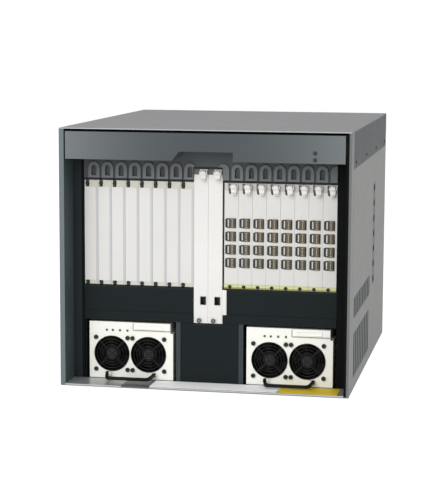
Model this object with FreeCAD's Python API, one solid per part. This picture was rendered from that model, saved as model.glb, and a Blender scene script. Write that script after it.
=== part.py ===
import FreeCAD, Part
import math
import os

from FreeCAD import Vector

# Modular chassis switch, nine rack units high, with its modules in place.
# X runs to the right and Y from the front to the back, as seen from the front; Z is up.
# The origin is the middle of the base. Lengths are in millimetres.

# Chassis
WIDTH = 445.0
HEIGHT = 397.0
DEPTH = 546.0
SHEET = 1.5  # folded steel sheet of the shell, cover, cage and panels
PAST = 1.0  # how far a cut runs on past what it cuts
RECESS = 50.0  # from the front edge back to the module faces
REAR_RECESS = 25.0  # from the rear edge in to the rear panel
BORDER = 7.5  # black border on each side of the recess
SIDE_FLANGE = 18.55  # from the recess wall in to the modules
SKIRT = 57.0  # how far the cover reaches down the sides
LIP_LAP = 18.0  # overlap of the shell's upper lip with its side wall
COVER_ROUND = 1.2  # radius of the cover's long top edges
BAND_Y = 30.0  # from the front edge to the groove round the side
GROOVE = 0.5  # depth of that groove

# Pins, shafts and their holes are prisms. A pin's corners lie on its radius, a hole's flats do.
PIN_SIDES = 8
HUB_SIDES = 10
BORE_SIDES = 20  # of a fan opening
HOLE = 1 / math.cos(math.pi / PIN_SIDES)  # a hole's corners, as a multiple of its radius

# Vents in both sides, measured from the front edge and the base
VENT_SLOT = 10.0  # slot width
VENT_WEB = 14.0  # metal between two slots
UPPER_VENT = (57.0, 290.0, 112.0, 142.0)  # y0, y1, z0, z1
LOWER_VENT = (60.0, 282.0, 20.0, 86.0)
REAR_VENT = (340.0, 360.0, 124.0, 288.0)

# Slots for the modules
FILLERS = 8
PORT_CARDS = 8
CONTROL_CARDS = 2
CONTROL_PITCH = 22.2
CONTROL_SPACE = 2.9  # from the last control card to the first port card
CARD_GAP = 0.3  # between neighbouring module faces
ROW_GAP = 0.6  # between the row of modules and the flanges
CARD_Z = 152.0
CARD_UNDER_BEZEL = 36.0  # from a card's upper end to the bezel's lower edge
CONTROL_Z = 96.5
CONTROL_UNDER_BEZEL = 16.0
FACE = 1.2  # sheet of a module's face channel
FACE_DEEP = 8.0  # depth of that channel
BOARD = 1.6
BOARD_LONG = 268.0  # circuit board, from the face to its rear edge
FILLER_LONG = 90.0  # a filler's carrier blade, from the face to its rear edge
BOARD_IN = 3.0  # board's place from the left edge of its face
GUIDE = 3.0  # thickness of a guide plate
GROOVE_DEEP = 1.6  # depth of a board groove
GROOVE_SIDE = 0.4  # clearance on each side of a board in its groove
GUIDE_CLEAR = 0.6  # between a face end and its guide plate
EDGE_IN = 1.2  # how far a board's edge reaches into its groove

# Port cards
PORTS = 4
PORT_PITCH = 20.3
PORT_DROP = 10.75  # middle of the ports below the middle of the card
PORT_SHIFT = 1.8  # ports to the right of the middle of the slot
PORT_W = 10.4
PORT_H = 14.6
PORT_PROUD = 1.0
PORT_LONG = 45.0
PLUG_W = 7.6
PLUG_H = 11.6
PLUG_PROUD = 2.4
FOOT_H = 6.0  # folded foot at the lower end of a card
FOOT_PROUD = 1.8

# Ejector levers
LEVER_W = 8.4
LEVER_EDGE = 6.7  # lever's middle from the right edge of a port card's slot
CONTROL_LEVER_EDGE = 7.3  # and from that of a control card's
LEVER_ROUND = 4.2  # radius of the head round its pin
LEVER_LONG = 12.5  # from the pin down to the lever's free end
LEVER_THICK = 4.6
LEVER_LIP = 2.2  # finger lip at the free end
LEVER_GAP = 0.4  # to the face and to the ears
LEVER_DROP = 5.0  # pin below the card's upper end
PIN = 1.2  # radius of a lever or bail pin
PIN_FIT = 0.08
EAR = 1.2

# Filler panels
TAB_LOW = 6.0  # lower end tab
TAB_HIGH = 10.5  # upper end tab
TAB_BACK = 0.6  # how far the tabs stand back from the face
NOTCH_W = 4.6
NOTCH_IN = 5.0
NOTCH_END = 1.0  # from a notch's inner end to the end of its tab

# Control cards
SOCKET_W = 9.2  # network socket, standing on its side
SOCKET_H = 13.0
SOCKET_DEEP = 14.0
SOCKET_WALL = 1.0
SOCKET_IN = 14.6
SOCKET_UP = 35.0  # socket's middle above the card's lower end
SCREW_R = 3.2
SCREW_PROUD = 3.0
SCREW_IN = 8.6
SCREW_UP = 4.2

# Bezel over the modules
BEZEL_DROP = 47.0  # lower edge below the chassis top
BEZEL_H = 41.5
BEZEL_T = 2.0
BEZEL_SIDE = 2.0  # gap to the side borders
BEZEL_BACK = 1.0  # how far it stands behind the front edge
BEZEL_RETURN = 24.0
NOTCH_X0 = -37.0
NOTCH_X1 = 45.0
NOTCH_TOP = 14.0
NOTCH_SLANT = 12.0
LAMP_IN = 47.0  # lamps from the recess wall
LAMP_DROP = (42.0, 31.5)  # below the chassis top
BEZEL_TAB_L = 12.0  # tabs that hold the bezel to the recess walls
BEZEL_TAB_H = 20.0
LAMP_R = 2.0
LAMP_LONG = 8.0
LAMP_FIT = 0.1

# Air intake over the cards: one round-topped hood for each slot
HOOD_FILLER_EDGE = 5.8  # hood's middle from the right edge of a filler's slot
HOOD_PORT_EDGE = 1.5  # and of a port card's
HOOD_GAP = 3.6  # between two hoods
HOOD_PROUD = 3.0
HOOD_Z = 4.0  # above the card's upper end
HOOD_H = 25.0
HOOD_HOLE_W = 8.0
HOOD_SIDES = 5  # flats of a hood's round top
HOOD_HOLE_SIDES = 3
HOOD_RIM = 3.4  # below the hole

# Power bay and supplies
BAY_OFFSET = 1.4  # the bay's middle, right of the chassis middle
SUPPLY_EDGE = 23.75  # from the recess wall to a supply, before the offset
SUPPLY_W = 133.5
SUPPLY_H = 89.0
SUPPLY_Z = 4.0
SUPPLY_LONG = 255.0
SUPPLY_CLEAR = 5.0  # gap on each side of a supply
SUPPLY_HEAD = 3.5  # gap over a supply
RUNNER_FIT = 0.3
RUNNER_W = 12.0
STEP_W = 4.0  # step at the upper right corner
STEP_H = 16.0
BAR_W = 58.0  # raised bar at the upper right
BAR_H = 11.0
BAR_PROUD = 3.0
FLANGE_W = 7.0  # front flange of a partition
FLANGE_PROUD = 1.5
BAND_H = 14.0  # header band over the bay
BAND_PROUD = 1.5

# Fans of the supplies: opening, rotor and shaft
SMALL_FAN_R = 27.8
SMALL_FAN_X = (-30.8, 27.6)  # from the supply's middle
SMALL_FAN_UP = 39.0
SMALL_FAN_DEEP = 32.0
SMALL_TIP = 26.4
SMALL_HUB = 11.5
SMALL_ROTOR_T = 15.0
SMALL_SHAFT = 2.0
SHAFT_FIT = 0.06
GUARD_T = 1.2
GUARD_BAR = 2.0
GUARD_DISC = 7.5
ROTOR_BACK = 2.2  # rotor's front behind the guard
SMALL_BLADES = 5
BIG_BLADES = 5
BLADE_T = 1.3
BLADE_PITCH = 40.0  # from the plane of the fan, degrees
BLADE_LEAN = 9.0  # sideways lean from root to tip, degrees
BLADE_SHARE = 0.86  # blade's depth as a share of the cup's
CAMBER = 0.16  # height of the fold along a blade, as a share of half its chord
HUB_SINK = 0.9  # a blade starts at this share of the cup's radius

# Bail handles
BAIL_W = 75.0
BAIL_BAR = 4.0  # width of the strap
BAIL_T = 4.4
BAIL_REACH = 21.0
BAIL_DROP = 9.0  # angle below level, degrees
BAIL_BEND = 8.0
BAIL_TAPER = 4.0  # each arm leans in by this much
BAIL_UP = 8.0  # pin above the supply's lower edge
EYE_R = 3.0  # from a pin to the strap's end
EYE_T = 4.4
EYE_GAP = 0.6
BAIL_PIN_OUT = 4.2  # pin in front of the supply's face
BAIL_EAR = 3.4

# Sill
SILL_T = 1.7
STRIP_T = 0.4
WHITE_STRIP = (298.0, 102.0)  # ends, from the right recess wall
YELLOW_STRIP = (100.0, 10.0)
STRIP_MARGIN = 4.0

# Backplane
BACKPLANE_T = 4.0
CONNECTOR_LONG = 10.0
CONNECTOR_W = 6.0
CONNECTOR_H = 116.0
CONNECTOR_GAP = 0.5
BACKPLANE_FOOT = 100.0  # lower edge above the base
BACKPLANE_DROP = 52.0  # upper edge below the chassis top

# Rear fan modules
FAN_MODULES = ("lower", "upper")
MODULE_IN = 26.5  # from the side of the chassis to a module
MODULE_Z = 112.0  # lower edge of the lower module
MODULE_GAP = 4.0  # between the modules
MODULE_DROP = 13.0  # upper module below the chassis top
MODULE_DEEP = 42.0
MODULE_T = 2.0
MODULE_LAP = 4.0  # face plate past the body, all round
MODULE_FIT = 0.8  # body in the rear panel's opening
BIG_FAN_EDGE = 11.0  # metal above and below a fan opening
BIG_FAN_WEB = 10.0  # metal between two fan openings
BIG_FAN_SIDE = 13.0  # at each end of a module, outside the equal widths of its fans
BIG_FANS = 3
TIP_GAP = 2.0  # between a big rotor and its opening
BIG_HUB = 22.0
BIG_ROTOR_T = 25.0
BIG_SHAFT = 4.0
BIG_BAR = 4.0
BIG_DISC = 18.0
BIG_MOTOR = 4.0  # motor base behind the guard
HANDLE_H = 70.0
HANDLE_PROUD = 17.0
HANDLE_W = 6.0
HANDLE_T = 5.0
HANDLE_IN = 9.0  # handle's middle from the module's end

# Rear power module
POWER_W = 300.0
POWER_H = 90.0
POWER_Z = 10.0
POWER_DEEP = 60.0
INLET_X = 95.0
INLET_UP = 45.0
INLET_W = 34.0
INLET_H = 27.0
INLET_WALL = 3.6
INLET_DEEP = 18.0
INLET_RIM = 2.0  # how far an inlet's rim stands out
BLADE_W = 8.0
BLADE_H = 2.0
BLADE_LONG = 14.0
BLADE_PLACES = ((-6.5, -3.0), (6.5, -3.0), (0.0, 5.0))  # from the inlet's middle
SWITCH_W = 16.0
SWITCH_H = 26.0
SWITCH_GAP = 0.6
SWITCH_DEEP = 11.0
SWITCH_TILT = 10.0
SWITCH_PIN = 1.2
SWITCH_PIN_IN = 2.0  # pin behind the module's face
SWITCH_THICK = 7.0
SWITCH_END = 1.0  # rocker's end short of its opening's size
SWITCH_BACK = 0.8  # length of the rocker's back, as a share of its front's

# Places that follow from the sizes above
FRONT = -DEPTH / 2
REAR = DEPTH / 2
FACE_Y = FRONT + RECESS
INNER_X = WIDTH / 2 - BORDER
ROW_W = 2 * (INNER_X - SIDE_FLANGE)
ROW_X = -ROW_W / 2
SLOT_PITCH = (ROW_W - CONTROL_CARDS * CONTROL_PITCH - CONTROL_SPACE) / (FILLERS + PORT_CARDS)
PORT_IN = SLOT_PITCH / 2 + PORT_SHIFT
LEVER_IN = SLOT_PITCH - LEVER_EDGE
CONTROL_LEVER_IN = CONTROL_PITCH - CONTROL_LEVER_EDGE
HOOD_W = SLOT_PITCH - HOOD_GAP
CONTROL_X = ROW_X + FILLERS * SLOT_PITCH
CONTROL_END = CONTROL_X + CONTROL_CARDS * CONTROL_PITCH
CONTROL_BAY = (CONTROL_X - CONTROL_SPACE / 4, CONTROL_END + CONTROL_SPACE / 4)  # its side walls
PORT_X = CONTROL_END + CONTROL_SPACE
BEZEL_Z = HEIGHT - BEZEL_DROP
BEZEL_TOP = BEZEL_Z + BEZEL_H
CARD_TOP = BEZEL_Z - CARD_UNDER_BEZEL
CONTROL_TOP = BEZEL_Z - CONTROL_UNDER_BEZEL
PORT_FIRST = (CARD_Z + CARD_TOP - (PORTS - 1) * PORT_PITCH) / 2 - PORT_DROP
LAMP_X = INNER_X - LAMP_IN
LAMP_Z = [HEIGHT - drop for drop in LAMP_DROP]
FLANGE_X = ROW_W / 2 + ROW_GAP
BOARD_END = FACE_Y + FACE + BOARD_LONG
BACKPLANE_Y = BOARD_END + CONNECTOR_GAP + CONNECTOR_LONG
LOWER_GUIDE = CARD_Z - GUIDE_CLEAR
UPPER_GUIDE = CARD_TOP + GUIDE_CLEAR
LOW_CONTROL_GUIDE = CONTROL_Z - GUIDE_CLEAR
HIGH_CONTROL_GUIDE = CONTROL_TOP + GUIDE_CLEAR
SUPPLY_TOP = SUPPLY_Z + SUPPLY_H
SUPPLY_X = INNER_X - SUPPLY_EDGE - SUPPLY_W / 2
SHELF_Z = SUPPLY_TOP + SUPPLY_HEAD
SILL_TOP = SHEET + SILL_T
REAR_Y = REAR - REAR_RECESS
LID_Z = HEIGHT - SHEET
BACKPLANE_TOP = HEIGHT - BACKPLANE_DROP
MODULE_W = WIDTH - 2 * MODULE_IN
MODULE_H = (HEIGHT - MODULE_DROP - MODULE_Z - (len(FAN_MODULES) - 1) * MODULE_GAP) / len(FAN_MODULES)
BIG_FAN_PITCH = (MODULE_W - 2 * BIG_FAN_SIDE) / BIG_FANS
BIG_FAN_R = min(MODULE_H / 2 - BIG_FAN_EDGE, (BIG_FAN_PITCH - BIG_FAN_WEB) / 2)
BIG_TIP = BIG_FAN_R - TIP_GAP


def block(x0, x1, y0, y1, z0, z1):
    """A box between two corners."""
    return Part.makeBox(x1 - x0, y1 - y0, z1 - z0, Vector(x0, y0, z0))


def join(first, *others):
    """One solid from pieces that meet or overlap."""
    return first.fuse(list(others)).removeSplitter()


def save(name, shape):
    shape.exportStep("parts/" + name + ".step")


def polygon(radius, sides):
    """Corners of a regular polygon on a circle, closed, as pairs."""
    angles = [2 * math.pi * (i + 0.5) / sides for i in range(sides + 1)]
    return [(radius * math.cos(a), radius * math.sin(a)) for a in angles]


def prism_x(x0, x1, y, z, radius, sides):
    """A regular prism along X, its corners on the radius."""
    corners = [Vector(x0, y + a, z + b) for a, b in polygon(radius, sides)]
    return Part.Face(Part.makePolygon(corners)).extrude(Vector(x1 - x0, 0, 0))


def prism_y(y0, y1, x, z, radius, sides):
    """A regular prism along Y, its corners on the radius."""
    corners = [Vector(x + a, y0, z + b) for a, b in polygon(radius, sides)]
    return Part.Face(Part.makePolygon(corners)).extrude(Vector(0, y1 - y0, 0))


def arch(x, z0, z1, width, y0, y1, flats):
    """A round-topped block: straight sides from z0, then a half circle of flats that ends at z1."""
    radius = width / 2
    spring = z1 - radius
    turn = [math.pi * i / flats for i in range(flats + 1)]
    outline = [(radius, z0)] + [(radius * math.cos(a), spring + radius * math.sin(a)) for a in turn]
    outline += [(-radius, z0), (radius, z0)]
    corners = [Vector(x + dx, y0, z) for dx, z in outline]
    return Part.Face(Part.makePolygon(corners)).extrude(Vector(0, y1 - y0, 0))


def slot_starts():
    """Left edges of the filler, control and port card slots."""
    fillers = [ROW_X + i * SLOT_PITCH for i in range(FILLERS)]
    controls = [CONTROL_X + i * CONTROL_PITCH for i in range(CONTROL_CARDS)]
    ports = [PORT_X + i * SLOT_PITCH for i in range(PORT_CARDS)]
    return fillers, controls, ports


# ---- chassis ----


def vent_row(y0, y1, z0, z1):
    """Upright slots through both sides, spread over y0 to y1."""
    count = int((y1 - y0 + VENT_WEB) // (VENT_SLOT + VENT_WEB))
    pitch = (y1 - y0 - VENT_SLOT) / (count - 1)
    reach = WIDTH / 2 + PAST
    starts = [FRONT + y0 + i * pitch for i in range(count)]
    return [block(-reach, reach, y, y + VENT_SLOT, z0, z1) for y in starts]


def vent_column(y0, y1, z0, z1):
    """Level slots through both sides, spread over z0 to z1."""
    count = int((z1 - z0 + VENT_WEB) // (VENT_SLOT + VENT_WEB))
    pitch = (z1 - z0 - VENT_SLOT) / (count - 1)
    reach = WIDTH / 2 + PAST
    starts = [z0 + i * pitch for i in range(count)]
    return [block(-reach, reach, FRONT + y0, FRONT + y1, z, z + VENT_SLOT) for z in starts]


def chassis_shell():
    """Floor and side walls folded from one sheet, with vents and a lip that the cover's skirt covers."""
    half = WIDTH / 2
    wall_top = HEIGHT - SKIRT
    walls = []
    for side in (-1, 1):
        x0, x1 = sorted((side * half, side * (half - SHEET)))
        walls.append(block(x0, x1, FRONT + SHEET, REAR, 0, wall_top))
        x0, x1 = sorted((side * (half - SHEET), side * (half - 2 * SHEET)))
        walls.append(block(x0, x1, FRONT + SHEET, REAR, wall_top - LIP_LAP, LID_Z))
    shell = join(block(-half, half, FRONT, REAR, 0, SHEET), *walls)
    cuts = vent_row(*UPPER_VENT) + vent_row(*LOWER_VENT) + vent_column(*REAR_VENT)
    groove_y = FRONT + BAND_Y
    for side in (-1, 1):
        x0, x1 = sorted((side * half, side * (half - GROOVE)))
        cuts.append(block(x0, x1, groove_y, groove_y + SHEET, 0, wall_top))
    return shell.cut(Part.makeCompound(cuts))


def top_cover():
    """Flat lid with a skirt down each side and a short one at the back."""
    half = WIDTH / 2
    skirt_z = HEIGHT - SKIRT
    skirts = [
        block(-half, -half + SHEET, FRONT + SHEET, REAR, skirt_z, LID_Z),
        block(half - SHEET, half, FRONT + SHEET, REAR, skirt_z, LID_Z),
    ]
    cover = join(block(-half, half, FRONT, REAR, LID_Z, HEIGHT), *skirts)
    long_edges = [
        e for e in cover.Edges
        if e.Length > DEPTH - 2 * SHEET and abs(e.BoundBox.ZMin - HEIGHT) < 0.01 and e.BoundBox.XLength < 0.01
    ]
    return cover.makeFillet(COVER_ROUND, long_edges)


def front_liner():
    """Black lining of the recess: side borders, side walls and the flanges beside the modules."""
    pieces = []
    for side in (-1, 1):
        x0, x1 = sorted((side * INNER_X, side * WIDTH / 2))
        pieces.append(block(x0, x1, FRONT, FRONT + SHEET, SHEET, LID_Z))
        x0, x1 = sorted((side * INNER_X, side * (INNER_X + SHEET)))
        pieces.append(block(x0, x1, FRONT, FACE_Y + SHEET, SHEET, LID_Z))
        x0, x1 = sorted((side * FLANGE_X, side * (INNER_X + SHEET)))
        pieces.append(block(x0, x1, FACE_Y, FACE_Y + SHEET, SHEET, LID_Z))
    left, right = join(*pieces[:3]), join(*pieces[3:])
    return Part.makeCompound([left, right])


def sill():
    """Tread plate on the floor in front of the power bay."""
    return block(-INNER_X, INNER_X, FRONT, FACE_Y, SHEET, SILL_TOP)


def sill_strips():
    """White and yellow strips on the sill."""
    y0, y1 = FRONT + STRIP_MARGIN, FACE_Y - STRIP_MARGIN
    strips = []
    for left, right in (WHITE_STRIP, YELLOW_STRIP):
        strips.append(block(INNER_X - left, INNER_X - right, y0, y1, SILL_TOP, SILL_TOP + STRIP_T))
    return Part.makeCompound(strips)


# ---- bezel and air intake ----


def bezel():
    """Folded front cover over the modules, with a notch over the control cards and two lamp holes."""
    half = INNER_X - BEZEL_SIDE
    y0 = FRONT + BEZEL_BACK
    pan = block(-half, half, y0, FACE_Y, BEZEL_Z, BEZEL_TOP)
    inner = half - BEZEL_T
    inside = block(-inner, inner, y0 + BEZEL_T, FACE_Y, BEZEL_Z + BEZEL_T, BEZEL_TOP - BEZEL_T)
    upper = block(-half, half, y0 + BEZEL_RETURN, FACE_Y, BEZEL_Z + BEZEL_T, BEZEL_TOP)
    pan = pan.cut([inside, upper])
    notch_z = BEZEL_Z + NOTCH_TOP
    pan = pan.cut(bezel_notch(0, y0 - PAST, FACE_Y + PAST))
    brim = bezel_notch(BEZEL_T, y0, FACE_Y).cut(bezel_notch(0, y0 - PAST, FACE_Y + PAST))
    pan = join(pan, brim.common(block(-half, half, y0, FACE_Y, BEZEL_Z, notch_z + BEZEL_T)))
    tab_y = y0 + BEZEL_RETURN / 3
    tab_z = (BEZEL_Z + BEZEL_TOP) / 2
    tabs = [
        block(-INNER_X, -half, tab_y, tab_y + BEZEL_TAB_L, tab_z - BEZEL_TAB_H / 2, tab_z + BEZEL_TAB_H / 2),
        block(half, INNER_X, tab_y, tab_y + BEZEL_TAB_L, tab_z - BEZEL_TAB_H / 2, tab_z + BEZEL_TAB_H / 2),
    ]
    pan = join(pan, *tabs)
    hole = (LAMP_R + LAMP_FIT) * HOLE
    holes = [prism_y(y0 - PAST, y0 + BEZEL_T + PAST, LAMP_X, z, hole, PIN_SIDES) for z in LAMP_Z]
    return pan.cut(holes)


def bezel_notch(grow, y0, y1):
    """Notch in the bezel's lower edge, with a slanted left side, grown outwards by grow."""
    z_top = BEZEL_Z + NOTCH_TOP + grow
    z_low = BEZEL_Z - PAST
    corners = [
        Vector(NOTCH_X0 - NOTCH_SLANT - grow, y0, z_low),
        Vector(NOTCH_X1 + grow, y0, z_low),
        Vector(NOTCH_X1 + grow, y0, z_top),
        Vector(NOTCH_X0 - grow, y0, z_top),
    ]
    return Part.Face(Part.makePolygon(corners + corners[:1])).extrude(Vector(0, y1 - y0, 0))


def status_lamps():
    """Two round lamps in the bezel."""
    y0 = FRONT + BEZEL_BACK / 2
    lamps = [prism_y(y0, FRONT + LAMP_LONG, LAMP_X, z, LAMP_R, PIN_SIDES) for z in LAMP_Z]
    return Part.makeCompound(lamps)


def intake_grille():
    """Plate from the card row up to the cover, with round-topped, open hoods, each between two levers."""
    fillers, controls, ports = slot_starts()
    plate = block(-FLANGE_X, FLANGE_X, FACE_Y, FACE_Y + SHEET, UPPER_GUIDE + GUIDE, LID_Z)
    left, right = CONTROL_BAY
    y0, y1 = FACE_Y - HOOD_PROUD, FACE_Y + SHEET
    room = block(left, right, y0 - PAST, y1 + PAST, UPPER_GUIDE, HIGH_CONTROL_GUIDE + GUIDE)
    z0 = CARD_TOP + HOOD_Z
    z1 = z0 + HOOD_H
    places = [start + SLOT_PITCH - HOOD_FILLER_EDGE for start in fillers]
    places += [start + SLOT_PITCH - HOOD_PORT_EDGE for start in [PORT_X - SLOT_PITCH] + ports]
    reach = block(-FLANGE_X, FLANGE_X, y0, y1, z0, z1)
    hoods = [arch(x, z0, z1, HOOD_W, y0, FACE_Y, HOOD_SIDES).common(reach) for x in places]
    half = HOOD_HOLE_W / 2
    top = z1 - (HOOD_W / 2 - half)
    cuts = [room]
    for x0, x1 in ((-FLANGE_X, left), (right, FLANGE_X)):
        for x in [x for x in places if x0 < x - half and x + half < x1]:
            cuts.append(arch(x, z0 + HOOD_RIM, top, HOOD_HOLE_W, y0 - PAST, y1 + PAST, HOOD_HOLE_SIDES))
    return join(plate, *hoods).cut(Part.makeCompound(cuts))


# ---- card cage ----


def groove_cuts(starts, z_low, z_high):
    """Board grooves in the guide plates below z_low and above z_high."""
    cuts = []
    for start in starts:
        x0 = start + BOARD_IN - GROOVE_SIDE
        x1 = start + BOARD_IN + BOARD + GROOVE_SIDE
        cuts.append(block(x0, x1, FACE_Y, BACKPLANE_Y, z_low - GROOVE_DEEP, z_low + PAST))
        cuts.append(block(x0, x1, FACE_Y, BACKPLANE_Y, z_high - PAST, z_high + GROOVE_DEEP))
    return cuts


def card_cage():
    """Guide plates above and below the card row, side walls, and the taller bay of the control cards."""
    fillers, controls, ports = slot_starts()
    y0, y1 = FACE_Y, BACKPLANE_Y
    wall_y = FACE_Y + SHEET
    left, right = CONTROL_BAY
    low, high = LOWER_GUIDE - GUIDE, UPPER_GUIDE + GUIDE
    pieces = []
    for z0, z1 in ((low, LOWER_GUIDE), (UPPER_GUIDE, high)):
        pieces.append(block(-FLANGE_X, left, y0, y1, z0, z1))
        pieces.append(block(right, FLANGE_X, y0, y1, z0, z1))
    for x in (-FLANGE_X - SHEET, FLANGE_X):
        pieces.append(block(x, x + SHEET, wall_y, y1, low, high))
    z0, z1 = LOW_CONTROL_GUIDE - GUIDE, HIGH_CONTROL_GUIDE + GUIDE
    for x in (left - SHEET, right):
        pieces.append(block(x, x + SHEET, wall_y, y1, z0, low))
        pieces.append(block(x, x + SHEET, wall_y, y1, high, z1))
    pieces.append(block(left, right, y0, y1, z0, LOW_CONTROL_GUIDE))
    pieces.append(block(left, right, y0, y1, HIGH_CONTROL_GUIDE, z1))
    cage = join(*pieces)
    cuts = groove_cuts(fillers + ports, LOWER_GUIDE, UPPER_GUIDE)
    cuts += groove_cuts(controls, LOW_CONTROL_GUIDE, HIGH_CONTROL_GUIDE)
    return cage.cut(Part.makeCompound(cuts))


def backplane():
    """Board across the chassis with a connector in each slot."""
    fillers, controls, ports = slot_starts()
    half = WIDTH / 2 - 2 * SHEET
    board = block(-half, half, BACKPLANE_Y, BACKPLANE_Y + BACKPLANE_T, BACKPLANE_FOOT, BACKPLANE_TOP)
    middle = (CARD_Z + CARD_TOP) / 2
    connectors = []
    for start in controls + ports:
        x = start + BOARD_IN + BOARD / 2
        connectors.append(block(x - CONNECTOR_W / 2, x + CONNECTOR_W / 2, BACKPLANE_Y - CONNECTOR_LONG,
                                BACKPLANE_Y, middle - CONNECTOR_H / 2, middle + CONNECTOR_H / 2))
    return join(board, *connectors)


# ---- power bay ----


def bay_edges():
    """Left and right edges of the two supply openings."""
    reach = SUPPLY_W / 2 + SUPPLY_CLEAR
    middles = (BAY_OFFSET - SUPPLY_X, BAY_OFFSET + SUPPLY_X)
    return [(x - reach, x + reach) for x in middles]


def lower_panel():
    """Dark panel under the cards and between the supplies, with a header band over the bay."""
    (left0, left1), (right0, right1) = bay_edges()
    y1 = FACE_Y + SHEET
    top = LOWER_GUIDE - GUIDE
    upper = block(-FLANGE_X, FLANGE_X, FACE_Y, y1, SHELF_Z, top)
    middle = block(left1 + SHEET, right0 - SHEET, FACE_Y, y1, SILL_TOP, SHELF_Z)
    band = block(-FLANGE_X, FLANGE_X, FACE_Y - BAND_PROUD, FACE_Y, SHELF_Z, SHELF_Z + BAND_H)
    room = block(*CONTROL_BAY, FACE_Y - BAND_PROUD - PAST, y1 + PAST, LOW_CONTROL_GUIDE - GUIDE, top + PAST)
    return join(upper, middle, band).cut(room)


def power_bay():
    """Floor runners, shelves and partitions of the power bay, with the partitions' front flanges."""
    y0, y1 = FACE_Y + SHEET, FACE_Y + SHEET + SUPPLY_LONG
    (left0, left1), (right0, right1) = bay_edges()
    bays = []
    for x0, x1, outer, inner in ((left0, left1, -1, 1), (right0, right1, 1, -1)):
        shelf = block(x0 - SHEET, x1 + SHEET, y0, y1, SHELF_Z, SHELF_Z + SHEET)
        walls = [
            block(x0 - SHEET, x0, y0, y1, SHEET, SHELF_Z),
            block(x1, x1 + SHEET, y0, y1, SHEET, SHELF_Z),
        ]
        floor = block(x0, x1, y0, y1, SHEET, SHEET + SHEET / 2)
        runner_z = SUPPLY_Z - RUNNER_FIT
        runners = [
            block(x0 + SUPPLY_CLEAR, x0 + SUPPLY_CLEAR + RUNNER_W, y0, y1, SHEET, runner_z),
            block(x1 - SUPPLY_CLEAR - RUNNER_W, x1 - SUPPLY_CLEAR, y0, y1, SHEET, runner_z),
        ]
        edge = x1 if inner > 0 else x0
        f0, f1 = sorted((edge, edge + inner * FLANGE_W))
        flange = block(f0, f1, FACE_Y - FLANGE_PROUD, FACE_Y, SILL_TOP, SHELF_Z)
        s0, s1 = sorted((edge, edge + inner * SHEET))
        stem = block(s0, s1, FACE_Y, y0, SILL_TOP, SHELF_Z)
        bays.append(join(shelf, *walls, floor, *runners, flange, stem))
    return Part.makeCompound(bays)


# ---- modules in the card row ----


def face_channel(x0, x1, z0, z1):
    """Module face: a sheet with its four edges folded back."""
    outer = block(x0, x1, FACE_Y, FACE_Y + FACE_DEEP, z0, z1)
    inner = block(x0 + FACE, x1 - FACE, FACE_Y + FACE, FACE_Y + FACE_DEEP, z0 + FACE, z1 - FACE)
    return outer.cut(inner)


def board(start, z_low, z_high, end):
    """Board behind a module face. Behind the face channel its edges reach into the guide grooves."""
    x0, x1 = start + BOARD_IN, start + BOARD_IN + BOARD
    behind = FACE_Y + FACE_DEEP
    root = block(x0, x1, FACE_Y + FACE, behind, z_low + GUIDE_CLEAR, z_high - GUIDE_CLEAR)
    return root.fuse(block(x0, x1, behind, end, z_low - EDGE_IN, z_high + EDGE_IN))


def lever_pin(card_top):
    """Place of a lever's pin: y and z."""
    return FACE_Y - LEVER_GAP - LEVER_ROUND, card_top - LEVER_DROP


def lever_ears(x, card_top):
    """Two ears on the face and the pin between them, round a lever whose middle is at x."""
    y, z = lever_pin(card_top)
    inner = LEVER_W / 2 + LEVER_GAP
    ears = [
        block(x - inner - EAR, x - inner, y - 2 * PIN, FACE_Y, z - 2 * PIN, z + 2 * PIN),
        block(x + inner, x + inner + EAR, y - 2 * PIN, FACE_Y, z - 2 * PIN, z + 2 * PIN),
    ]
    return ears + [prism_x(x - inner - EAR, x + inner + EAR, y, z, PIN, PIN_SIDES)]


def ejector_lever(x, card_top):
    """Moulded lever: eight-sided head on its pin, a thinner arm down the face, a lip at the free end."""
    y, z = lever_pin(card_top)
    x0 = x - LEVER_W / 2
    back = FACE_Y - LEVER_GAP
    end = z - LEVER_LONG
    front = back - LEVER_THICK
    flat = LEVER_ROUND * math.tan(math.radians(22.5))
    outline = [
        (back, z + flat), (back, end), (front - LEVER_LIP, end), (front - LEVER_LIP, end + LEVER_LIP),
        (front, end + 2 * LEVER_LIP), (y - LEVER_ROUND, z - flat), (y - LEVER_ROUND, z + flat),
        (y - flat, z + LEVER_ROUND), (y + flat, z + LEVER_ROUND),
    ]
    corners = [Vector(x0, dy, dz) for dy, dz in outline]
    lever = Part.Face(Part.makePolygon(corners + corners[:1])).extrude(Vector(LEVER_W, 0, 0))
    return lever.cut(prism_x(x0 - PAST, x0 + LEVER_W + PAST, y, z, (PIN + PIN_FIT) * HOLE, PIN_SIDES))


def port_card(start):
    """Face with a column of ports and their dust plugs, a foot, the ports' cage and the circuit board."""
    x0, x1 = start, start + SLOT_PITCH - CARD_GAP
    card = face_channel(x0, x1, CARD_Z, CARD_TOP)
    foot = block(x0, x1, FACE_Y - FOOT_PROUD, FACE_Y, CARD_Z, CARD_Z + FOOT_H)
    port0, port1 = start + PORT_IN - PORT_W / 2, start + PORT_IN + PORT_W / 2
    plug0, plug1 = start + PORT_IN - PLUG_W / 2, start + PORT_IN + PLUG_W / 2
    heights = [PORT_FIRST + i * PORT_PITCH for i in range(PORTS)]
    cage = block(port0, port1, FACE_Y + FACE, FACE_Y + PORT_LONG,
                 heights[0] - PORT_H / 2, heights[-1] + PORT_H / 2)
    pieces = [board(start, LOWER_GUIDE, UPPER_GUIDE, BOARD_END), cage, foot]
    pieces += lever_ears(start + LEVER_IN, CARD_TOP)
    rim_y, plug_y = FACE_Y - PORT_PROUD, FACE_Y - PLUG_PROUD
    for z in heights:
        pieces.append(block(port0, port1, rim_y, FACE_Y, z - PORT_H / 2, z + PORT_H / 2))
        pieces.append(block(plug0, plug1, plug_y, rim_y, z - PLUG_H / 2, z + PLUG_H / 2))
    return join(card, *pieces)


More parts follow.
